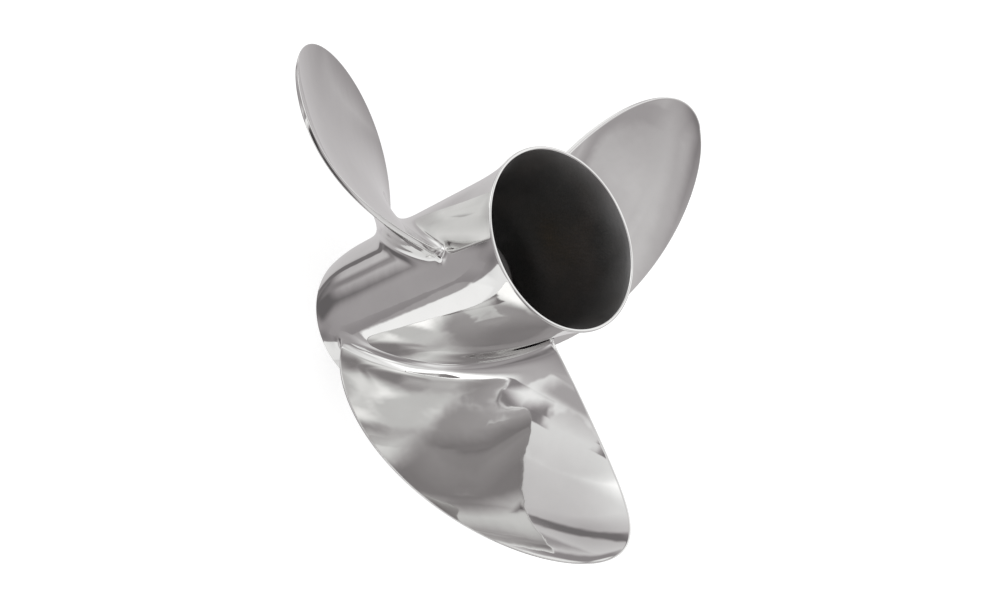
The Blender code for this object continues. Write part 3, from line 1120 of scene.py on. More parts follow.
class Graph:
    """Short way to fill a node tree."""

    COLOUR_INPUTS = (6, 7)
    COLOUR_RESULT = 2

    def __init__(self, tree: bpy.types.NodeTree) -> None:
        """Work on the given tree."""
        self.tree = tree

    def join(self, source: object, socket: bpy.types.NodeSocket) -> None:
        """Link a socket or set a value.

        Args:
            source: An output socket, or a plain number, colour or vector.
            socket: The input that takes it.
        """
        if isinstance(source, bpy.types.NodeSocket):
            self.tree.links.new(source, socket)
        else:
            socket.default_value = source

    def node(self, kind: str, **inputs: object) -> bpy.types.Node:
        """Add a node and fill its inputs by name.

        Args:
            kind: Type of the node.
            **inputs: Sockets, numbers, colours or vectors, by the name of the input.

        Returns:
            The new node.
        """
        node = self.tree.nodes.new(kind)
        for name, source in inputs.items():
            self.join(source, node.inputs[name])
        return node

    def group(self, tree: bpy.types.NodeTree, **inputs: object) -> bpy.types.Node:
        """Place a node group and fill its inputs by name.

        Args:
            tree: The node group.
            **inputs: Sockets, numbers, colours or vectors, by the name of the input.

        Returns:
            The group's node.
        """
        node = self.tree.nodes.new("ShaderNodeGroup")
        node.node_tree = tree
        for name, source in inputs.items():
            self.join(source, node.inputs[name])
        return node

    def math(self, operation: str, *values: object) -> bpy.types.NodeSocket:
        """Add a Math node and return its output.

        Args:
            operation: Name of the operation.
            *values: Its inputs, in order.

        Returns:
            The result's socket.
        """
        node = self.tree.nodes.new("ShaderNodeMath")
        node.operation = operation
        for value, socket in zip(values, node.inputs):
            self.join(value, socket)
        return node.outputs["Value"]

    def dot(self, one: object, other: object) -> bpy.types.NodeSocket:
        """Dot product of two vectors.

        Args:
            one: The first vector.
            other: The second vector.

        Returns:
            The product's socket.
        """
        node = self.tree.nodes.new("ShaderNodeVectorMath")
        node.operation = "DOT_PRODUCT"
        self.join(one, node.inputs[0])
        self.join(other, node.inputs[1])
        return node.outputs["Value"]

    def mix(self, share: object, one: object, other: object) -> bpy.types.NodeSocket:
        """Mix two numbers.

        Args:
            share: How much of the second one shows, from 0 to 1.
            one: The first number.
            other: The second number.

        Returns:
            The mixed number's socket.
        """
        node = self.tree.nodes.new("ShaderNodeMix")
        self.join(share, node.inputs["Factor"])
        self.join(one, node.inputs["A"])
        self.join(other, node.inputs["B"])
        return node.outputs["Result"]

    def blend(self, share: object, one: object, other: object) -> bpy.types.NodeSocket:
        """Mix two colours.

        Args:
            share: How much of the second one shows, from 0 to 1.
            one: The first colour.
            other: The second colour.

        Returns:
            The mixed colour's socket.
        """
        node = self.tree.nodes.new("ShaderNodeMix")
        node.data_type = "RGBA"
        self.join(share, node.inputs["Factor"])
        for source, index in zip((one, other), self.COLOUR_INPUTS):
            self.join((*source, 1.0) if isinstance(source, tuple) else source, node.inputs[index])
        return node.outputs[self.COLOUR_RESULT]

    def spread(
        self, value: object, low: float, high: float, to_low: object, to_high: object
    ) -> bpy.types.NodeSocket:
        """Map a span of values onto another, held at its ends.

        Args:
            value: What is mapped.
            low: Lower end of the span.
            high: Upper end of the span.
            to_low: What the lower end becomes.
            to_high: What the upper end becomes.

        Returns:
            The mapped value's socket.
        """
        node = self.node("ShaderNodeMapRange", Value=value)
        node.inputs["From Min"].default_value = low
        node.inputs["From Max"].default_value = high
        self.join(to_low, node.inputs["To Min"])
        self.join(to_high, node.inputs["To Max"])
        return node.outputs["Result"]

    def noise(self, place: object, scale: object, detail: float = 2.0) -> bpy.types.NodeSocket:
        """Soft noise, mostly between 0.3 and 0.7."""
        return self.node("ShaderNodeTexNoise", Vector=place, Scale=scale, Detail=detail).outputs["Fac"]

    def stretched(self, place: object, scale: tuple, turn: tuple) -> bpy.types.NodeSocket:
        """Turned and stretched copy of a place."""
        return self.node("ShaderNodeMapping", Vector=place, Scale=scale, Rotation=turn).outputs["Vector"]

    def cloud(
        self, effects: "Effects", place: object, size: float, span: tuple[float, float]
    ) -> bpy.types.NodeSocket:
        """Cloudy variation between two values.

        Args:
            effects: The shared node groups.
            place: The place on the piece.
            size: Size of the clouds in metres.
            span: The two values.

        Returns:
            The value's socket.
        """
        node = self.group(effects.mottling, Place=place, Size=size, Low=span[0], High=span[1])
        return node.outputs["Value"]

    def bump(self, height: object, depth: float, normal: object = None) -> bpy.types.NodeSocket:
        """Raise the surface by a height of 0 to 1 times a depth in metres.

        Args:
            height: The height, from 0 to 1.
            depth: Depth of a height of 1, in metres.
            normal: The normal that it is added to, if there is one.

        Returns:
            The new normal's socket.
        """
        node = self.node("ShaderNodeBump", Height=height, Distance=depth)
        if normal is not None:
            self.join(normal, node.inputs["Normal"])
        return node.outputs["Normal"]

    def mix_shaders(self, share: object, one: bpy.types.Node, other: bpy.types.Node) -> bpy.types.Node:
        """Mix the first outputs of two shader nodes.

        Args:
            share: How much of the second one shows, from 0 to 1.
            one: The first shader.
            other: The second shader.

        Returns:
            The mix's node.
        """
        node = self.tree.nodes.new("ShaderNodeMixShader")
        self.join(share, node.inputs["Fac"])
        self.join(one.outputs[0], node.inputs[1])
        self.join(other.outputs[0], node.inputs[2])
        return node

    def ramp(self, share: object, stops: tuple) -> bpy.types.Node:
        """Add a ramp of greys.

        Args:
            share: What drives the ramp.
            stops: Pairs of place and grey level, in order.

        Returns:
            The ramp's node.
        """
        node = self.tree.nodes.new("ShaderNodeValToRGB")
        elements = node.color_ramp.elements
        halfway = 0.5
        while len(elements) < len(stops):
            elements.new(halfway)
        for element, (place, tone) in zip(elements, stops):
            element.position = place
            element.color = (tone, tone, tone, 1.0)
        self.join(share, node.inputs["Fac"])
        return node


def new_group(name: str, inputs: dict[str, str], outputs: dict[str, str]) -> tuple:
    """Start a shader node group.

    Args:
        name: Name of the group.
        inputs: Socket types by input name.
        outputs: Socket types by output name.

    Returns:
        The graph, the group's input sockets and the node that takes its outputs.
    """
    tree = bpy.data.node_groups.new(name, "ShaderNodeTree")
    for title, kind in inputs.items():
        tree.interface.new_socket(title, in_out="INPUT", socket_type=kind)
    for title, kind in outputs.items():
        tree.interface.new_socket(title, in_out="OUTPUT", socket_type=kind)
    graph = Graph(tree)
    return graph, graph.node("NodeGroupInput").outputs, graph.node("NodeGroupOutput")


FLOAT, VECTOR = "NodeSocketFloat", "NodeSocketVector"
WHITE = (1.0, 1.0, 1.0, 1.0)
SCRATCH_LAYERS = (
    ((60.0, 60.0, 4200.0), (0.3, 0.5, 0.0)),
    ((4800.0, 70.0, 90.0), (0.2, 0.1, 0.9)),
    ((80.0, 4500.0, 60.0), (0.9, 0.4, 0.2)),
)


def soft_box_group() -> bpy.types.NodeTree:
    """Make the group that lays one soft box over the light behind it.

    Returns:
        The group's tree.
    """
    vectors = dict.fromkeys(("Direction", "Middle", "Width", "Height"), VECTOR)
    numbers = dict.fromkeys(("Softness", "Brightness", "Behind"), FLOAT)
    graph, given, result = new_group("soft box", {**vectors, **numbers}, {"Light": FLOAT})
    least_ahead = 0.001
    ahead = graph.math("MAXIMUM", graph.dot(given["Direction"], given["Middle"]), least_ahead)
    across = graph.math("ABSOLUTE", graph.dot(given["Direction"], given["Width"]))
    upward = graph.math("ABSOLUTE", graph.dot(given["Direction"], given["Height"]))
    place = graph.math("DIVIDE", graph.math("MAXIMUM", across, upward), ahead)
    cover = graph.node("ShaderNodeMapRange", Value=place)
    cover.interpolation_type = "SMOOTHSTEP"
    graph.join(graph.math("SUBTRACT", 1.0, given["Softness"]), cover.inputs["From Min"])
    graph.join(graph.math("ADD", 1.0, given["Softness"]), cover.inputs["From Max"])
    cover.inputs["To Min"].default_value = 1.0
    cover.inputs["To Max"].default_value = 0.0
    light = graph.mix(cover.outputs["Result"], given["Behind"], given["Brightness"])
    graph.join(light, result.inputs["Light"])
    return graph.tree


def waves_group() -> bpy.types.NodeTree:
    """Make the group for the broad, shallow waves that grinding and moulding leave.

    Returns:
        The group's tree.
    """
    graph, given, result = new_group("broad waves", {"Place": VECTOR, "Size": FLOAT}, {"Height": FLOAT})
    finer = 2.3
    finer_share = 0.3
    scale = graph.math("DIVIDE", 1.0, given["Size"])
    broad = graph.noise(given["Place"], scale, detail=0.0)
    small = graph.noise(given["Place"], graph.math("MULTIPLY", scale, finer), detail=1.0)
    graph.join(graph.mix(finer_share, broad, small), result.inputs["Height"])
    return graph.tree


def mottling_group() -> bpy.types.NodeTree:
    """Make the group for cloudy variation between two values.

    Returns:
        The group's tree.
    """
    inputs = dict.fromkeys(("Size", "Low", "High"), FLOAT)
    graph, given, result = new_group("mottling", {"Place": VECTOR, **inputs}, {"Value": FLOAT})
    darkest, lightest = 0.32, 0.68
    cloud = graph.noise(given["Place"], graph.math("DIVIDE", 1.0, given["Size"]), detail=5.0)
    value = graph.spread(cloud, darkest, lightest, given["Low"], given["High"])
    graph.join(value, result.inputs["Value"])
    return graph.tree


def scratches_group() -> bpy.types.NodeTree:
    """Make the group for crossing hairline scratches, white on black.

    Returns:
        The group's tree.
    """
    graph, given, result = new_group("hairlines", {"Place": VECTOR, "Amount": FLOAT}, {"Mask": FLOAT})
    edge_at_none, edge_fall = 0.78, 0.2
    patch_scale = 38.0
    patch_edges = (0.45, 0.6)
    edge = graph.math("SUBTRACT", edge_at_none, graph.math("MULTIPLY", given["Amount"], edge_fall))
    lines = []
    for scale, turn in SCRATCH_LAYERS:
        line = graph.noise(graph.stretched(given["Place"], scale, turn), 1.0, detail=1.0)
        lines.append(graph.math("GREATER_THAN", line, edge))
    mask = graph.math("MAXIMUM", graph.math("MAXIMUM", lines[0], lines[1]), lines[2])
    patches = graph.spread(graph.noise(given["Place"], patch_scale), *patch_edges, 0.0, 1.0)
    graph.join(graph.math("MULTIPLY", mask, patches), result.inputs["Mask"])
    return graph.tree


def pits_group() -> bpy.types.NodeTree:
    """Make the group for sparse round pits or specks, white on black.

    Returns:
        The group's tree.
    """
    inputs = dict.fromkeys(("Spacing", "Radius", "Share"), FLOAT)
    graph, given, result = new_group("pits", {"Place": VECTOR, **inputs}, {"Mask": FLOAT})
    cells = graph.node("ShaderNodeTexVoronoi", Vector=given["Place"])
    graph.join(graph.math("DIVIDE", 1.0, given["Spacing"]), cells.inputs["Scale"])
    reach_out = graph.math("DIVIDE", given["Radius"], given["Spacing"])
    from_middle = graph.math("DIVIDE", cells.outputs["Distance"], reach_out)
    flat_share = 0.6
    disc = graph.spread(from_middle, flat_share, 1.0, 1.0, 0.0)
    chance = graph.node("ShaderNodeSeparateColor", Color=cells.outputs["Color"]).outputs["Red"]
    chosen = graph.math("LESS_THAN", chance, given["Share"])
    graph.join(graph.math("MULTIPLY", disc, chosen), result.inputs["Mask"])
    return graph.tree


def turning_group() -> bpy.types.NodeTree:
    """Make the group for the fine rings that a lathe leaves round the shaft axis.

    Returns:
        The group's tree.
    """
    graph, given, result = new_group("lathe rings", {"Place": VECTOR, "Pitch": FLOAT}, {"Height": FLOAT})
    axes = graph.node("ShaderNodeSeparateXYZ", Vector=given["Place"]).outputs
    square = graph.math("MULTIPLY", axes["X"], axes["X"])
    radius = graph.math("SQRT", graph.math("MULTIPLY_ADD", axes["Y"], axes["Y"], square))
    travel = graph.math("DIVIDE", graph.math("ADD", radius, axes["Z"]), given["Pitch"])
    rings = graph.node("ShaderNodeTexNoise", Scale=1.0, Detail=2.0)
    rings.noise_dimensions = "1D"
    graph.join(travel, rings.inputs["W"])
    graph.join(rings.outputs["Fac"], result.inputs["Height"])
    return graph.tree


@dataclass
class Effects:
    """Node groups that the finishes share."""

    waves: bpy.types.NodeTree = field(default_factory=waves_group)
    mottling: bpy.types.NodeTree = field(default_factory=mottling_group)
    scratches: bpy.types.NodeTree = field(default_factory=scratches_group)
    pits: bpy.types.NodeTree = field(default_factory=pits_group)
    turning: bpy.types.NodeTree = field(default_factory=turning_group)


def new_material(name: str) -> tuple[bpy.types.Material, Graph, bpy.types.Node, bpy.types.NodeSocket]:
    """Start a material.

    Args:
        name: The material's name.

    Returns:
        The material, its graph, its Principled BSDF and the place on the piece in metres.
    """
    material = bpy.data.materials.new(name)
    material.use_nodes = True
    graph = Graph(material.node_tree)
    shader = graph.tree.nodes["Principled BSDF"]
    return material, graph, shader, graph.node("ShaderNodeTexCoord").outputs["Object"]


@dataclass(frozen=True)
class PolishedSteel:
    """Mirror polish, with faint waves from hand grinding, hairlines and a few casting pits."""

    bright: tuple[float, float, float] = (0.764, 0.761, 0.752)
    hazy: tuple[float, float, float] = (0.72, 0.717, 0.708)
    pit: tuple[float, float, float] = (0.2, 0.19, 0.185)
    haze_size: float = 30 * MM
    smear_size: float = 21 * MM
    roughness: tuple[float, float] = (0.018, 0.042)
    line_amount: float = 0.5
    line_roughness: float = 0.04
    pit_spacing: float = 15 * MM
    pit_radius: float = 0.45 * MM
    pit_share: float = 0.22
    pit_roughness: float = 0.3
    pit_depth: float = 0.05 * MM
    wave_size: float = 24 * MM
    wave_depth: float = 0.12 * MM

    def material(self, effects: Effects) -> bpy.types.Material:
        """Make the material.

        Args:
            effects: The shared node groups.

        Returns:
            The material.
        """
        material, graph, shader, place = new_material("mirror polished steel")
        shader.inputs["Metallic"].default_value = 1.0
        haze = graph.cloud(effects, place, self.haze_size, (0.0, 1.0))
        lines = graph.group(effects.scratches, Place=place, Amount=self.line_amount).outputs["Mask"]
        pits = graph.group(effects.pits, Place=place, Spacing=self.pit_spacing, Share=self.pit_share)
        pits.inputs["Radius"].default_value = self.pit_radius
        pitted = pits.outputs["Mask"]
        colour = graph.blend(haze, self.bright, self.hazy)
        graph.join(graph.blend(pitted, colour, self.pit), shader.inputs["Base Color"])
        smeared = graph.cloud(effects, place, self.smear_size, self.roughness)
        lined = graph.math("MULTIPLY_ADD", lines, self.line_roughness, smeared)
        rough = graph.math("MULTIPLY_ADD", pitted, self.pit_roughness, lined)
        graph.join(rough, shader.inputs["Roughness"])
        waves = graph.group(effects.waves, Place=place, Size=self.wave_size)
        normal = graph.bump(waves.outputs["Height"], self.wave_depth)
        whole = graph.math("SUBTRACT", 1.0, pitted)
        graph.join(graph.bump(whole, self.pit_depth, normal), shader.inputs["Normal"])
        return material


@dataclass(frozen=True)
class DarkCasting:
    """Unpolished inside of the casting: burnt nearly black, with a satin sheen and brown stains."""

    soot: tuple[float, float, float] = (0.036, 0.0355, 0.0355)
    stain: tuple[float, float, float] = (0.064, 0.055, 0.051)
    sheen: float = 2.7
    stain_size: float = 32 * MM
    stain_power: float = 2.0
    speck_size: float = 3 * MM
    speck_strength: float = 0.35
    smear_size: float = 20 * MM
    roughness: tuple[float, float] = (0.32, 0.42)
    wave_size: float = 14 * MM
    wave_depth: float = 0.15 * MM
    grain_size: float = 1.1 * MM
    grain_depth: float = 0.06 * MM
    grain_detail: float = 3.0

    def material(self, effects: Effects) -> bpy.types.Material:
        """Make the material.

        Args:
            effects: The shared node groups.

        Returns:
            The material.
        """
        material, graph, shader, place = new_material("dark casting")
        shader.inputs["IOR"].default_value = self.sheen
        clouds = graph.cloud(effects, place, self.stain_size, (0.0, 1.0))
        broad = graph.math("POWER", clouds, self.stain_power)
        specks = graph.cloud(effects, place, self.speck_size, (0.0, self.speck_strength))
        stained = graph.math("MAXIMUM", broad, specks)
        graph.join(graph.blend(stained, self.soot, self.stain), shader.inputs["Base Color"])
        rough = graph.cloud(effects, place, self.smear_size, self.roughness)
        graph.join(rough, shader.inputs["Roughness"])
        waves = graph.group(effects.waves, Place=place, Size=self.wave_size)
        normal = graph.bump(waves.outputs["Height"], self.wave_depth)
        grain = graph.noise(place, 1 / self.grain_size, self.grain_detail)
        graph.join(graph.bump(grain, self.grain_depth, normal), shader.inputs["Normal"])
        return material


@dataclass(frozen=True)
class MouldedPolymer:
    """Glass-filled black polymer as it leaves the mould."""

    dark: tuple[float, float, float] = (0.022, 0.023, 0.025)
    light: tuple[float, float, float] = (0.05, 0.052, 0.056)
    cloud_size: float = 6 * MM
    cloud_strength: float = 0.7
    scuff_amount: float = 0.9
    scuff_strength: float = 0.3
    smear_size: float = 11 * MM
    roughness: tuple[float, float] = (0.38, 0.56)
    grain_size: float = 0.5 * MM
    grain_depth: float = 0.02 * MM

    def material(self, effects: Effects) -> bpy.types.Material:
        """Make the material.

        Args:
            effects: The shared node groups.

        Returns:
            The material.
        """
        material, graph, shader, place = new_material("moulded polymer")
        cloud = graph.cloud(effects, place, self.cloud_size, (0.0, self.cloud_strength))
        scuffs = graph.group(effects.scratches, Place=place, Amount=self.scuff_amount).outputs["Mask"]
        share = graph.math("MULTIPLY_ADD", scuffs, self.scuff_strength, cloud)
        graph.join(graph.blend(share, self.dark, self.light), shader.inputs["Base Color"])
        rough = graph.cloud(effects, place, self.smear_size, self.roughness)
        graph.join(rough, shader.inputs["Roughness"])
        grain = graph.noise(place, 1 / self.grain_size)
        graph.join(graph.bump(grain, self.grain_depth), shader.inputs["Normal"])
        return material


@dataclass(frozen=True)
class MachinedBrass:
    """Turned brass with lathe rings and the first signs of tarnish."""

    fresh: tuple[float, float, float] = (0.78, 0.58, 0.30)
    tarnished: tuple[float, float, float] = (0.48, 0.33, 0.16)
    tarnish_size: float = 9 * MM
    tarnish_strength: float = 0.8
    roughness: tuple[float, float] = (0.2, 0.42)
    ring_pitch: float = 0.22 * MM
    ring_depth: float = 0.012 * MM
    ring_strength: float = 0.25

    def material(self, effects: Effects) -> bpy.types.Material:
        """Make the material.

        Args:
            effects: The shared node groups.

        Returns:
            The material.
        """
        material, graph, shader, place = new_material("machined brass")
        shader.inputs["Metallic"].default_value = 1.0
        tarnish = graph.cloud(effects, place, self.tarnish_size, (0.0, self.tarnish_strength))
        rings = graph.group(effects.turning, Place=place, Pitch=self.ring_pitch).outputs["Height"]
        share = graph.math("MULTIPLY_ADD", rings, self.ring_strength, tarnish)
        graph.join(graph.blend(share, self.fresh, self.tarnished), shader.inputs["Base Color"])
        graph.join(graph.spread(share, 0.0, 1.0, *self.roughness), shader.inputs["Roughness"])
        graph.join(graph.bump(rings, self.ring_depth), shader.inputs["Normal"])
        return material


@dataclass(frozen=True)
class PaleFloor:
    """Bright, matt sheet that the propeller stands on, clear when seen from below."""

    clean: tuple[float, float, float] = (0.6, 0.6, 0.6)
    worn: tuple[float, float, float] = (0.585, 0.585, 0.585)
    cloud_size: float = 0.25
    smear_size: float = 0.05
    roughness: tuple[float, float] = (0.8, 0.95)
    glow: float = 0.68

    def material(self, effects: Effects) -> bpy.types.Material:
        """Make the material.

        Args:
            effects: The shared node groups.

        Returns:
            The material.
        """
        material, graph, shader, place = new_material("pale floor")
        worn = graph.cloud(effects, place, self.cloud_size, (0.0, 1.0))
        graph.join(graph.blend(worn, self.clean, self.worn), shader.inputs["Base Color"])
        rough = graph.cloud(effects, place, self.smear_size, self.roughness)
        graph.join(rough, shader.inputs["Roughness"])
        shader.inputs["Emission Color"].default_value = WHITE
        shader.inputs["Emission Strength"].default_value = self.glow
        below = graph.node("ShaderNodeNewGeometry").outputs["Backfacing"]
        clear = graph.node("ShaderNodeBsdfTransparent")
        surface = graph.mix_shaders(below, shader, clear)
        graph.join(surface.outputs[0], graph.tree.nodes["Material Output"].inputs["Surface"])
        return material


@dataclass(frozen=True)
class SoftBox:
    """One soft light, or a dark flag, far away in the studio."""

    name: str
    azimuth: float
    elevation: float
    roll: float
    half_width: float
    half_height: float
    softness: float
    brightness: float

    def axes(self) -> tuple[Vector, Vector, Vector]:
        """Directions to its middle, along its width and along its height.

        Returns:
            Three vectors, the last two divided by the tangents of the half sizes.
        """
        azimuth, elevation, roll = (math.radians(x) for x in (self.azimuth, self.elevation, self.roll))
        level = math.cos(elevation)
        middle = Vector((level * math.cos(azimuth), level * math.sin(azimuth), math.sin(elevation)))
        across = Vector((-math.sin(azimuth), math.cos(azimuth), 0.0))
        upward = middle.cross(across)
        width = across * math.cos(roll) + upward * math.sin(roll)
        height = upward * math.cos(roll) - across * math.sin(roll)
        width /= math.tan(math.radians(self.half_width))
        height /= math.tan(math.radians(self.half_height))
        return middle, width, height


# These grey levels, from straight below to straight above, and all the soft boxes but the last
# came out of a fit of the mirrored light to the photograph's brightness, and were then rounded.
ROOM_TONES = (
    (0.000, 0.10),
    (0.146, 0.50),
    (0.413, 0.35),
    (0.629, 0.33),
    (0.821, 0.57),
    (0.953, 0.76),
    (1.000, 1.25),
)

# The names only tell the boxes apart. The last one was added.
SOFT_BOXES = (
    SoftBox("tall panel at the left", -131, 29, 26, 19, 15.5, 0.87, 1.04),
    SoftBox("low strip at the right", -31, -44, 90, 49, 8.7, 0.08, 1.09),
    SoftBox("panel behind", -172.5, -1.5, 4.5, 50, 17, 1, 1.17),
    SoftBox("low panel at the far right", 45, -35.5, 44.5, 50.5, 50.5, 0.6, 0.98),
    SoftBox("low panel behind", -177.5, -44, -88, 41.5, 45.5, 0.55, 0.64),
    SoftBox("bright card at the left", -116.5, 23.5, 70.5, 11, 20.5, 0.54, 1.84),
    SoftBox("slim strip at the front", -61.5, 13.5, -15.5, 18, 5.8, 1, 1.1),
    SoftBox("overhead panel", 128, 46.5, -1.5, 45, 39, 0.42, 1.17),
    SoftBox("high panel at the right", -22.5, 44, -12.5, 29.5, 16.5, 0.2, 0.89),
    SoftBox("bar across the right panel", 70.5, 20.5, -38, 23.5, 2, 0.58, 0.42),
    SoftBox("flag at the right", 12, 35.5, -45.5, 25.5, 10.2, 0.94, 0.25),
    SoftBox("upper dark strip behind", -168.5, 23.5, 69.5, 2.1, 8.8, 0.51, 0.19),
    SoftBox("lower dark strip behind", 178.5, 10.5, 11, 11.5, 2.5, 0.49, 0.31),
    SoftBox("dark strip at the front", -70.5, -10, 2, 4.3, 19, 1, 0.28),
    SoftBox("low dark card at the right", -61, -55.5, 46.5, 7.8, 4.1, 0.06, 0.32),
    SoftBox("low dark card in front", -125, -62.5, -80.5, 9.6, 18.5, 0.47, 0.15),
    SoftBox("low dark card at the left", -159.5, -55, -21, 3, 10.3, 0.28, 0.19),
    SoftBox("low grey strip in front", -83.5, -36, -79, 28.5, 9.2, 0.8, 0.42),
    SoftBox("small dark card in front", -133, -53, 55, 7.8, 3, 0.9, 0.27),
    SoftBox("flag in front", -42.5, 32, 85.5, 3.7, 21, 1, 0.19),
    SoftBox("low lamp in front", -29, -49.5, 57.5, 8.8, 7.8, 0.14, 1.14),
    SoftBox("small flag at the left", -118, 39.5, -8.5, 3.5, 5.8, 0.15, 0.26),
    SoftBox("lamp at the front left", -95.5, 41, -6.5, 10, 4.1, 0.11, 0.91),
    SoftBox("low panel behind left", -164.5, -15, -53, 15.5, 10.5, 0.92, 1.19),
    SoftBox("small card behind", 177.5, 18.5, 18, 2.7, 3.8, 0.62, 0.4),
    SoftBox("lamp at the left", -111.5, 6, 88, 5.3, 7, 0.76, 1.21),
    SoftBox("grey card at the front left", -90.5, 43.5, -13.5, 7.1, 4.9, 0.43, 0.47),
    SoftBox("strip light at the left", -101, 19, 16, 15, 4.3, 0.45, 0.89),
    SoftBox("second small flag at the left", -109, 39, 76, 5.7, 5.1, 0.09, 0.29),
    SoftBox("high lamp at the left", -107, 40, 15.5, 5.5, 2.9, 0.8, 1.05),
    SoftBox("low grey card behind", 135.5, -54.5, -33.5, 7.6, 13.5, 0.06, 0.62),
    SoftBox("white card at the front left", -93.5, -8.5, -58, 7.2, 6.6, 0.14, 0.92),
    SoftBox("thin flag at the right", -46, -14, -4.5, 2.3, 7.8, 0.54, 0.23),
    SoftBox("long grey strip in front", -97, -24, 1, 52, 6.1, 0.27, 0.42),
    SoftBox("low grey card behind left", -161.5, -33.5, 7.5, 25.5, 13.5, 0.23, 0.54),
    SoftBox("grey card behind", 103.5, 9, -7.5, 5.3, 15, 0.82, 0.54),
    SoftBox("flag beside the right panel", 17.5, -4.5, 6, 12.5, 5.4, 0.42, 0.12),
    SoftBox("low flag at the right", 0.5, -15.5, -25.5, 26.5, 14.5, 0.34, 0.07),
    SoftBox("high card behind left", -159, 60, 25, 18, 14.5, 0.13, 0.75),
    SoftBox("low card in front", -54.5, -25, 49, 11, 8.4, 0.93, 0.85),
    SoftBox("grey card at the far right", 71.5, 47, 60, 7.8, 19.5, 0.2, 0.63),
    SoftBox("low grey card at the far right", 69.5, -58.5, -53, 27.5, 14.5, 0.31, 0.39),
    SoftBox("dark aisle at the far right", 66, -24, 0, 38, 10, 0.35, 0.14),
)


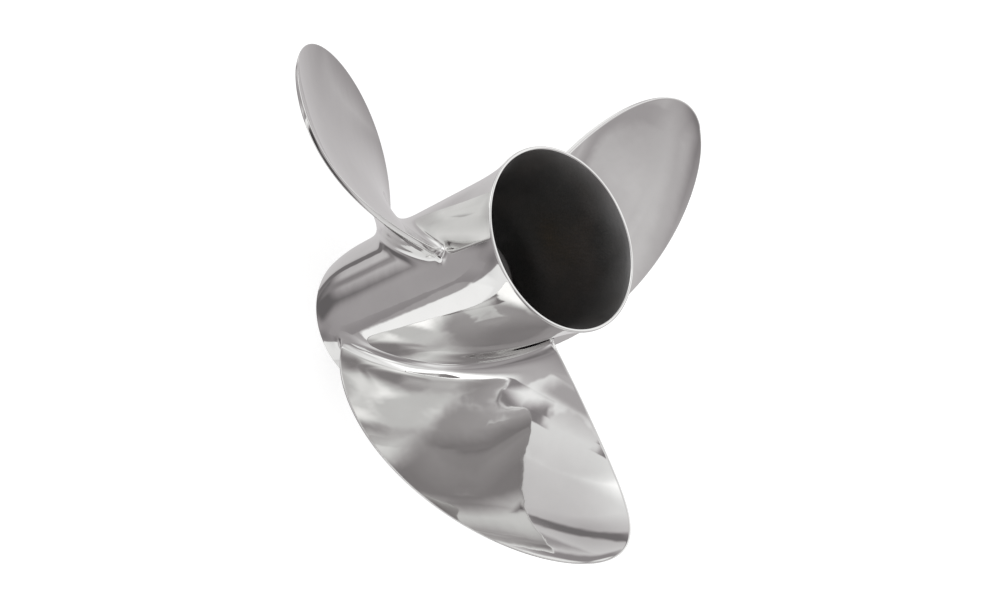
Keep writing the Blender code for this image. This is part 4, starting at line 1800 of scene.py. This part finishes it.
@dataclass(frozen=True)
class Studio:
    """Pale floor, soft light and the camera of the photograph."""

    target: tuple[float, float] = (20.32 * MM, 125.04 * MM)
    distance: float = 1.11692
    tilt: float = math.radians(44.55)
    heading: float = math.radians(36.715)
    roll: float = math.radians(67.183)
    focal_length: float = 60.68
    sensor: float = 36.0
    floor_radius: float = 12.0
    floor_sides: int = 96
    backdrop: float = 1.0
    even_light: float = 0.8
    dim_tint: tuple[float, float, float] = (1.05, 0.987, 1.01)
    bright_tint: tuple[float, float, float] = (1.0, 1.0, 1.0)
    tint_span: tuple[float, float] = (0.3, 0.9)

    def build(self, effects: Effects) -> None:
        """Set up camera, surroundings and floor.

        Args:
            effects: The shared node groups.
        """
        bpy.context.scene.view_settings.view_transform = "Standard"
        self.camera()
        self.surroundings()
        self.floor(PaleFloor().material(effects))

    def camera(self) -> None:
        """Set up the camera at the photograph's viewing angle."""
        data = bpy.data.cameras.new("camera")
        data.lens = self.focal_length
        data.sensor_width = self.sensor
        item = bpy.data.objects.new("camera", data)
        bpy.context.scene.collection.objects.link(item)
        turn = Matrix.Rotation(self.heading, 3, "Z")
        back = turn @ Vector((0.0, -math.sin(self.tilt), math.cos(self.tilt)))
        across = turn @ Vector((1.0, 0.0, 0.0))
        upward = turn @ Vector((0.0, math.cos(self.tilt), math.sin(self.tilt)))
        right = across * math.cos(self.roll) + upward * math.sin(self.roll)
        up = upward * math.cos(self.roll) - across * math.sin(self.roll)
        place = turn @ Vector((self.target[0], 0.0, self.target[1])) + back * self.distance
        rotation = Matrix((right, up, back)).transposed()
        item.matrix_world = Matrix.Translation(place) @ rotation.to_4x4()
        bpy.context.scene.camera = item

    def surroundings(self) -> None:
        """Light the scene evenly, and let the polished metal mirror the soft boxes."""
        world = bpy.data.worlds.new("studio")
        bpy.context.scene.world = world
        world.use_nodes = True
        graph = Graph(world.node_tree)
        graph.tree.nodes.clear()
        direction = graph.node("ShaderNodeTexCoord").outputs["Generated"]
        height = graph.node("ShaderNodeSeparateXYZ", Vector=direction).outputs["Z"]
        tone = graph.spread(height, -1.0, 1.0, 0.0, 1.0)
        light = graph.ramp(tone, ROOM_TONES).outputs["Color"]
        kind = soft_box_group()
        for box in SOFT_BOXES:
            middle, width, tall = box.axes()
            node = graph.group(kind, Direction=direction, Middle=middle, Width=width, Height=tall)
            node.label = box.name
            node.inputs["Softness"].default_value = box.softness
            node.inputs["Brightness"].default_value = box.brightness
            graph.join(light, node.inputs["Behind"])
            light = node.outputs["Light"]
        share = graph.spread(light, *self.tint_span, 0.0, 1.0)
        tint = graph.blend(share, self.dim_tint, self.bright_tint)
        rays = graph.node("ShaderNodeLightPath").outputs
        even = graph.node("ShaderNodeBackground", Color=WHITE, Strength=self.even_light)
        mirrored = graph.node("ShaderNodeBackground", Color=tint, Strength=light)
        backdrop = graph.node("ShaderNodeBackground", Color=WHITE, Strength=self.backdrop)
        lit = graph.mix_shaders(rays["Is Glossy Ray"], even, mirrored)
        seen = graph.mix_shaders(rays["Is Camera Ray"], lit, backdrop)
        graph.node("ShaderNodeOutputWorld", Surface=seen.outputs[0])

    def floor(self, pale: bpy.types.Material) -> None:
        """Lay a round pale floor, which the polished metal doesn't mirror.

        Args:
            pale: The floor's finish.
        """
        shape = bmesh.new()
        sides, radius = self.floor_sides, self.floor_radius
        bmesh.ops.create_circle(shape, cap_ends=True, segments=sides, radius=radius)
        mesh = bpy.data.meshes.new("floor")
        shape.to_mesh(mesh)
        shape.free()
        mesh.materials.append(pale)
        item = bpy.data.objects.new("floor", mesh)
        bpy.context.scene.collection.objects.link(item)
        item.visible_glossy = False


def settle(piece: bpy.types.Object, slot: Slot, *nodes: str) -> None:
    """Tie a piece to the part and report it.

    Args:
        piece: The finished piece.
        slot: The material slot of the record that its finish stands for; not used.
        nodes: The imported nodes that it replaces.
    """
    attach(piece, BODY)
    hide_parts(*nodes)
    log.info("%s stands for %s: %d faces", piece.name, ", ".join(nodes), len(piece.data.polygons))


def main() -> None:
    """Build the propeller and its studio."""
    effects = Effects()
    steel = PolishedSteel().material(effects)
    dark = DarkCasting().material(effects)
    casting = PropellerCasting(steel, dark).build()
    settle(casting, Slot.STEEL, "hub_barrel", "blade_1", "blade_2", "blade_3")
    inner = InnerCasting(dark)
    settle(inner.hub(), Slot.CASTING, "inner_hub")
    for index in range(BLADE_COUNT):
        settle(inner.rib(index), Slot.CASTING, f"rib_{index + 1}")
    settle(DriveSleeve(MouldedPolymer().material(effects)).build(), Slot.POLYMER, "drive_sleeve")
    settle(SplinedAdapter(MachinedBrass().material(effects)).build(), Slot.BRASS, "splined_adapter")
    Studio().build(effects)


if __name__ == "__main__":
    logging.basicConfig(level=logging.INFO, format="%(name)s: %(message)s")
    main()
